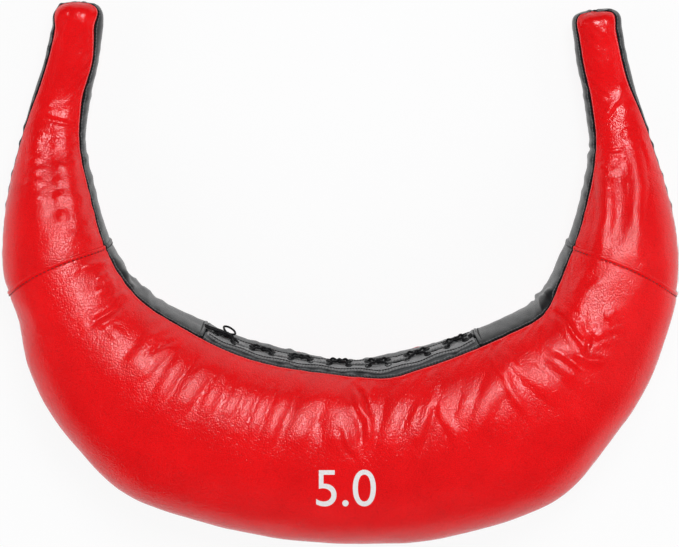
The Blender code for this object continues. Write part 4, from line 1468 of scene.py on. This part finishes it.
class BAG_OT_lacing(bpy.types.Operator):
    """Make the plackets, the flaps with their eyelets, the tongue, the lace and its knot"""

    bl_idname = "bag.lacing"
    bl_label = "Lacing"

    def execute(self, context):
        end = lacing_station()
        for side, prefix in ((1, "front"), (-1, "back")):
            name = f"{prefix}_placket"
            mesh = body_sheet(f"{name}_skin", -end, end, placket_edges(side), PLACKET_GRID,
                              gusset_shape, 0.6)
            add_piece(f"{name}_skin", mesh, placket_leather(), name)
            rows, columns = FLAP_GRID
            stations, _ = spread_stations(-end * FLAP_SHARE, end * FLAP_SHARE, rows)
            mesh = leather_sheet(f"{prefix}_flap", stations, flap_edges(side), columns, flap_shape,
                                 FLAP_LIFT, hem=0.0008, backing=-0.0006)
            add_piece(f"{prefix}_flap", mesh, flap_cloth(), f"{prefix}_lacing_flap")
        self.add_tongue(end)
        self.add_eyelets()
        self.add_lace()
        self.add_stitching(end)
        return {"FINISHED"}

    def add_tongue(self, end):
        """The tongue, a strip of cloth behind the slit."""
        stations = np.linspace(-end * TONGUE_SHARE, end * TONGUE_SHARE, 90)
        section, slit = Sections(stations), slit_level(stations)
        low = section.wall_angle(slit + TONGUE_ABOVE)
        high = section.wall_angle(slit - TONGUE_BELOW)
        angles = angles_between(low, high, np.linspace(0, 1, 14))
        wave = ripple(bag_surface(stations[:, None], angles), 0.0003, 0.03, 0.01, 41)
        outer = bag_surface(stations[:, None], angles, TONGUE_FRONT)
        outer = outer + wave[..., None] * surface_frame(stations[:, None], angles)[1]
        inner = bag_surface(stations[:, None], angles[:, ::-1], TONGUE_BACK)
        mesh = ring_mesh("tongue", np.concatenate([outer, inner], axis=1))
        add_piece("tongue", mesh, flap_cloth(), "lacing_tongue")

    def add_eyelets(self):
        """The eyelets of both flaps, in one mesh."""
        whole = bmesh.new()
        for pair in lace_stations():
            for station in pair:
                for side in (1, -1):
                    level = slit_level(np.array(station)) + side * EYELET_HEIGHT
                    place, out = wall_frame(station, level, FLAP_LIFT + EYELET_LIFT)
                    turn = Vector(out).to_track_quat("Z", "Y").to_matrix().to_4x4()
                    self.add_ring(whole, Matrix.Translation(place) @ turn)
        add_piece("eyelets", smooth_mesh("eyelets", whole), dark_metal())

    def add_ring(self, whole, matrix):
        """One pressed eyelet: a round rim over a closed dark disc that stands in for the shade in its
        hole.
        """
        ring = bmesh.new()
        upright = Matrix.Translation((EYELET_RADIUS, 0, 0)) @ Matrix.Rotation(QUARTER, 4, "X")
        bmesh.ops.create_circle(ring, segments=7, radius=EYELET_RIM, matrix=upright)
        bmesh.ops.spin(ring, geom=ring.verts[:] + ring.edges[:], cent=(0, 0, 0), axis=(0, 0, 1),
                       angle=TURN, steps=EYELET_SIDES, use_merge=True)
        bmesh.ops.remove_doubles(ring, verts=ring.verts, dist=1e-6)
        bmesh.ops.recalc_face_normals(ring, faces=ring.faces)
        # Painted shade: a capped dark disc fills the hole where the shade inside it would be
        bmesh.ops.create_cone(ring, cap_ends=True, segments=EYELET_SIDES, radius1=EYELET_HOLE,
                              radius2=EYELET_HOLE, depth=0.0005)
        bmesh.ops.transform(ring, matrix=matrix, verts=ring.verts)
        part = smooth_mesh("eyelet", ring)
        whole.from_mesh(part)
        bpy.data.meshes.remove(part)

    def add_lace(self):
        """The lace: two strands that meet in a turn at its right end."""
        first, second = lace_path(1, 1), lace_path(-1, -1)
        last = np.array(lacing_station() * 0.975)
        turn = wall_frame(last, slit_level(last), FLAP_LIFT + LACE_RADIUS)[0]
        whole = smooth_path(np.vstack([first, turn[None], second[::-1]]), 0.0012)
        mesh = cord_mesh("lace_cord", [(whole, LACE_RADIUS, {"flat": 0.8})])
        add_piece("lace_cord", mesh, lace_cloth(), "lace")
        self.add_knot()

    def add_knot(self):
        """The knot at the lace's left end, its standing loop and its loose ends."""
        station = np.array(lace_stations()[0][0] + 0.16)
        level = slit_level(station) + 0.002
        place, out = wall_frame(station, level, FLAP_LIFT + KNOT_LIFT)
        ahead = unit(wall_frame(station + 0.05, level, FLAP_LIFT + KNOT_LIFT)[0] - place)
        up = np.cross(out, ahead)
        up *= np.sign(up[2])

        def spot(x, y, z):
            return place + (ahead * x + up * y + out * z) / 1000

        trefoil = [(0.95 * (math.sin(a) + 2 * math.sin(2 * a)),
                    0.85 * (math.cos(a) - 2 * math.cos(2 * a)), -1.2 * math.sin(3 * a))
                   for a in np.linspace(0, TURN, 40, endpoint=False) + 0.4]
        rows = (
            trefoil,
            ((0, -1, 1), (-3, -4, 2), (-4, -8, 3), (0, -10.5, 3.4), (5, -8, 3.2), (7, -3, 2.4),
             (4, 0, 1.6), (1, 0.5, 1)),
            ((0, 1, 0.6), (-5, -1, 0.6), (-10, -3.6, -0.8), (-15, -5.6, -2.0), (-19, -7.2, -2.6)),
            ((0, -1, 0.6), (-5, 1.6, 0.4), (-10, 0.6, -0.8), (-14, -1.6, -2.0), (-18, -3.4, -2.6)),
            ((1, 1, 0.8), (5, 3.5, 1.2), (9, 5, 0.6), (12, 5.6, -0.4)),
        )
        paths = [(smooth_path([spot(*stop) for stop in row], 0.0009), KNOT_CORD_RADIUS, {})
                 for row in rows]
        mesh = cord_mesh("lace_knot_tied", paths)
        add_piece("lace_knot_tied", mesh, lace_cloth(), "lace_knot")

    def add_stitching(self, end):
        """Thread along the flaps' hems, and across the ends of the opening."""
        rows = []
        stations = np.linspace(-end * TONGUE_SHARE, end * TONGUE_SHARE, 300)
        for side in (1, -1):
            hem = FLAP_TO_HEM + flap_wave(stations) * FLAP_WAVE
            above = slit_level(stations) + side * (hem - HEM_STITCH_SETBACK)
            path, out = wall_frame(stations, above, np.full_like(stations, FLAP_LIFT + 0.0006))
            rows.append((path, out, {"pitch": 0.0024, "length": 0.0026, "width": 0.0006}))
        for side in (-1, 1):
            for away in END_STITCH_SHARES:
                low, high = edge_angles(inner_gusset_edges, side * end * away)
                angles = np.linspace(low + 0.03, high - 0.03, 60)
                path, out = surface_frame(side * end * away, angles, np.full(60, 0.0001))
                rows.append((path, out, {"pitch": 0.0030}))
        mesh = stitch_mesh("opening_stitches", rows)
        add_piece("opening_stitches", mesh, thread("black_thread"))


class BAG_OT_seam_thread(bpy.types.Operator):
    """Sew the two cross seams, where the body's leather laps over the horns"""

    bl_idname = "bag.seam_thread"
    bl_label = "Cross seam thread"

    def execute(self, context):
        red, black = [], []
        for side in (-1, 1):
            station = side * (SEAM_STATION - CROSS_STITCH_SETBACK * LAST_STATION / WIDTH * 0.98)
            for edges, rows in ((front_edges, red), (back_edges, red),
                                (outer_gusset_edges, black), (inner_gusset_edges, black)):
                angles = np.linspace(*edge_angles(edges, station), 160)
                path, out = surface_frame(station, angles, np.full(160, 0.0003))
                path[:, 2] = np.maximum(path[:, 2], 0.0006)
                rows.append((path, out, {"pitch": 0.0036, "length": 0.0026}))
        for colour, rows, slot in (("red", red, "red_leather"), ("black", black, "black_lace")):
            name = f"cross_seam_{colour}_thread"
            add_piece(name, stitch_mesh(name, rows), thread(f"{colour}_thread"))
        return {"FINISHED"}


class BAG_OT_tips(bpy.types.Operator):
    """Gather the gussets in a small knot at each tip"""

    bl_idname = "bag.tips"
    bl_label = "Tip knots"

    def execute(self, context):
        for prefix in ("left", "right"):
            low, high = (np.array(corner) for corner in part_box(f"{prefix}_tip_knot"))
            middle = lean((low + high)[None] / 2)[0]
            ball = bmesh.new()
            bmesh.ops.create_uvsphere(ball, u_segments=28, v_segments=18,
                                      radius=TIP_KNOT_RADIUS * 0.95)
            for vertex in ball.verts:
                turn = math.atan2(vertex.co.z, vertex.co.x)
                share = math.hypot(vertex.co.x, vertex.co.z) / TIP_KNOT_RADIUS
                pleat = 1 + 0.10 * math.cos(7 * turn) * share
                vertex.co.x *= pleat
                vertex.co.z *= pleat
                vertex.co.y -= 0.0012
            bmesh.ops.translate(ball, verts=ball.verts, vec=middle)
            name = f"{prefix}_tip_gather"
            add_piece(name, smooth_mesh(name, ball), black_leather(),
                      f"{prefix}_tip_knot", f"{prefix}_horn")
        return {"FINISHED"}


def filling_mesh(name, stations, inset, lump, seed):
    """A soft stuffed form that fills the section from station to station, with rounded ends."""
    turn = np.linspace(0, TURN, 72, endpoint=False)
    shares = (0.30, 0.60, 0.82, 0.94)
    far = np.concatenate([np.full(4, stations[0]), stations, np.full(4, stations[-1])])
    ring = np.concatenate([shares, np.ones(len(stations)), shares[::-1]])
    base = bag_surface(far[:, None], turn[None], inset, ring[:, None])
    out = unit(base - bag_surface(far[:, None], turn[None], ring=0.0))
    swell = ripple(base, lump, 0.060, 0.014, seed) - lump
    return ring_mesh(name, base + out * swell[..., None])


class BAG_OT_filling(bpy.types.Operator):
    """Fill the bag: wadding under its panels, sand pouches, stuffed horns and firm grips"""

    bl_idname = "bag.filling"
    bl_label = "Filling"

    def execute(self, context):
        stations = np.linspace(-WADDING_END, WADDING_END, 150)
        for prefix, edges, seed in (("front", front_edges, 51), ("back", back_edges, 52)):
            angles = angles_between(*edges(stations), np.linspace(0.02, 0.98, 44))
            outer = bag_surface(stations[:, None], angles, WADDING_DEPTH)
            out = surface_frame(stations[:, None], angles)[1]
            swell = ripple(outer, 0.0005, 0.040, 0.010, seed) - 0.0008
            inner = bag_surface(stations[:, None], angles[:, ::-1], WADDING_BOTTOM)
            name = f"{prefix}_wadding"
            mesh = ring_mesh(name, np.concatenate([outer + out * swell[..., None], inner], axis=1))
            obj = add_piece(name, mesh, wadding(), f"{name}_pad")
        third = SEAM_STATION / 3
        for name, low, high, seed in (("left_sand_pouch", -POUCH_END, -third - 0.04, 61),
                                      ("centre_sand_pouch", -third, third, 62),
                                      ("right_sand_pouch", third + 0.04, POUCH_END, 63)):
            stations = np.linspace(low, high, 60)
            mesh = filling_mesh(f"{name}_cloth", stations, POUCH_DEPTH, 0.0010, seed)
            obj = add_piece(f"{name}_cloth", mesh, sand_cloth(), name)
        grip = (SEAM_STATION + LAST_STATION) / 2
        soft, firm = (wadding(), "pale_wadding"), (sand_cloth(), "sand_cloth")
        for side, prefix in SIDES:
            for node, label, low, high, finish, seed in (
                ("horn_filling", "stuffing", SEAM_STATION, grip, soft, 71),
                ("grip_core", "core", grip + 0.06, LAST_STATION + 0.3, firm, 72),
            ):
                name = f"{prefix}_{node}"
                stations = side * np.linspace(low, high, 60)
                mesh = filling_mesh(f"{name}_{label}", stations, WADDING_DEPTH, 0.0005, seed + side)
                obj = add_horn_piece(f"{name}_{label}", mesh, *finish, side, name)
        return {"FINISHED"}


class BAG_OT_number(bpy.types.Operator):
    """Print the plain weight number on the belly"""

    bl_idname = "bag.number"
    bl_label = "Weight number"

    def execute(self, context):
        label = context.scene.bag_print
        data = bpy.data.curves.new("weight_number", "FONT")
        data.body = label.text
        data.size = 1.0
        data.align_x = "CENTER"
        data.align_y = "CENTER"
        holder = bpy.data.objects.new("number_outline", data)
        context.scene.collection.objects.link(holder)
        context.view_layer.update()
        flat = bmesh.new()
        flat.from_mesh(holder.to_mesh())
        bpy.data.objects.remove(holder, do_unlink=True)
        corners = np.array([v.co for v in flat.verts])
        low, high = corners.min(axis=0), corners.max(axis=0)
        scale = label.height / (high[1] - low[1]) * 1000 / PIXEL
        centre = (low + high) / 2
        for axis in (0, 1):
            square = np.eye(3)[axis]
            for place in np.arange(low[axis], high[axis], PRINT_CELL / scale):
                geometry = flat.verts[:] + flat.edges[:] + flat.faces[:]
                bmesh.ops.bisect_plane(flat, geom=geometry, plane_co=square * place,
                                       plane_no=square, dist=1e-7)
        bmesh.ops.triangulate(flat, faces=flat.faces)
        bmesh.ops.remove_doubles(flat, verts=flat.verts, dist=1e-6)
        skin = bpy.data.objects["front_body_skin"].data
        tree = BVHTree.FromPolygons([v.co for v in skin.vertices],
                                    [p.vertices for p in skin.polygons])
        for vertex in flat.verts:
            x = label.middle[0] + (vertex.co.x - centre[0]) * scale
            y = label.middle[1] - (vertex.co.y - centre[1]) * scale
            place, ray = photo_ray(x, y)
            hit, normal, _, _ = tree.ray_cast(Vector(place), Vector(ray))
            if hit is None:
                raise RuntimeError("the number lies beside the bag")
            vertex.co = hit + normal * PRINT_LIFT
        bmesh.ops.recalc_face_normals(flat, faces=flat.faces)
        if sum(face.normal.z for face in flat.faces) < 0:
            bmesh.ops.reverse_faces(flat, faces=flat.faces)
        add_piece("weight_number", smooth_mesh("weight_number", flat), white_print())
        return {"FINISHED"}


class BAG_PT_panel(bpy.types.Panel):
    """The bag's pieces, in the order in which they are made"""

    bl_label = "Power bag"
    bl_space_type = "VIEW_3D"
    bl_region_type = "UI"
    bl_category = "Power bag"

    def draw(self, context):
        for group in (context.scene.bag_leather, context.scene.bag_print, context.scene.bag_stage):
            for key in group.__annotations__:
                self.layout.prop(group, key)
        for maker in MAKERS:
            self.layout.operator(maker.bl_idname)


MAKERS = (BAG_OT_stage, BAG_OT_body_panels, BAG_OT_gussets, BAG_OT_horns, BAG_OT_lacing,
          BAG_OT_seam_thread, BAG_OT_tips, BAG_OT_filling, BAG_OT_number)
CLASSES = (BagLeather, BagPrint, BagStage, *MAKERS, BAG_PT_panel)


def register():
    for cls in CLASSES:
        bpy.utils.register_class(cls)
    bpy.types.Scene.bag_leather = PointerProperty(type=BagLeather)
    bpy.types.Scene.bag_print = PointerProperty(type=BagPrint)
    bpy.types.Scene.bag_stage = PointerProperty(type=BagStage)


def unregister():
    del bpy.types.Scene.bag_stage
    del bpy.types.Scene.bag_print
    del bpy.types.Scene.bag_leather
    for cls in reversed(CLASSES):
        bpy.utils.unregister_class(cls)


def main():
    """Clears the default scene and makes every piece."""
    register()
    for name in ("Camera", "Light", "Cube"):
        default = bpy.data.objects.get(name)
        if default:
            bpy.data.objects.remove(default, do_unlink=True)
    for maker in MAKERS:
        group, name = maker.bl_idname.split(".")
        getattr(getattr(bpy.ops, group), name)()


if __name__ == "__main__":
    main()
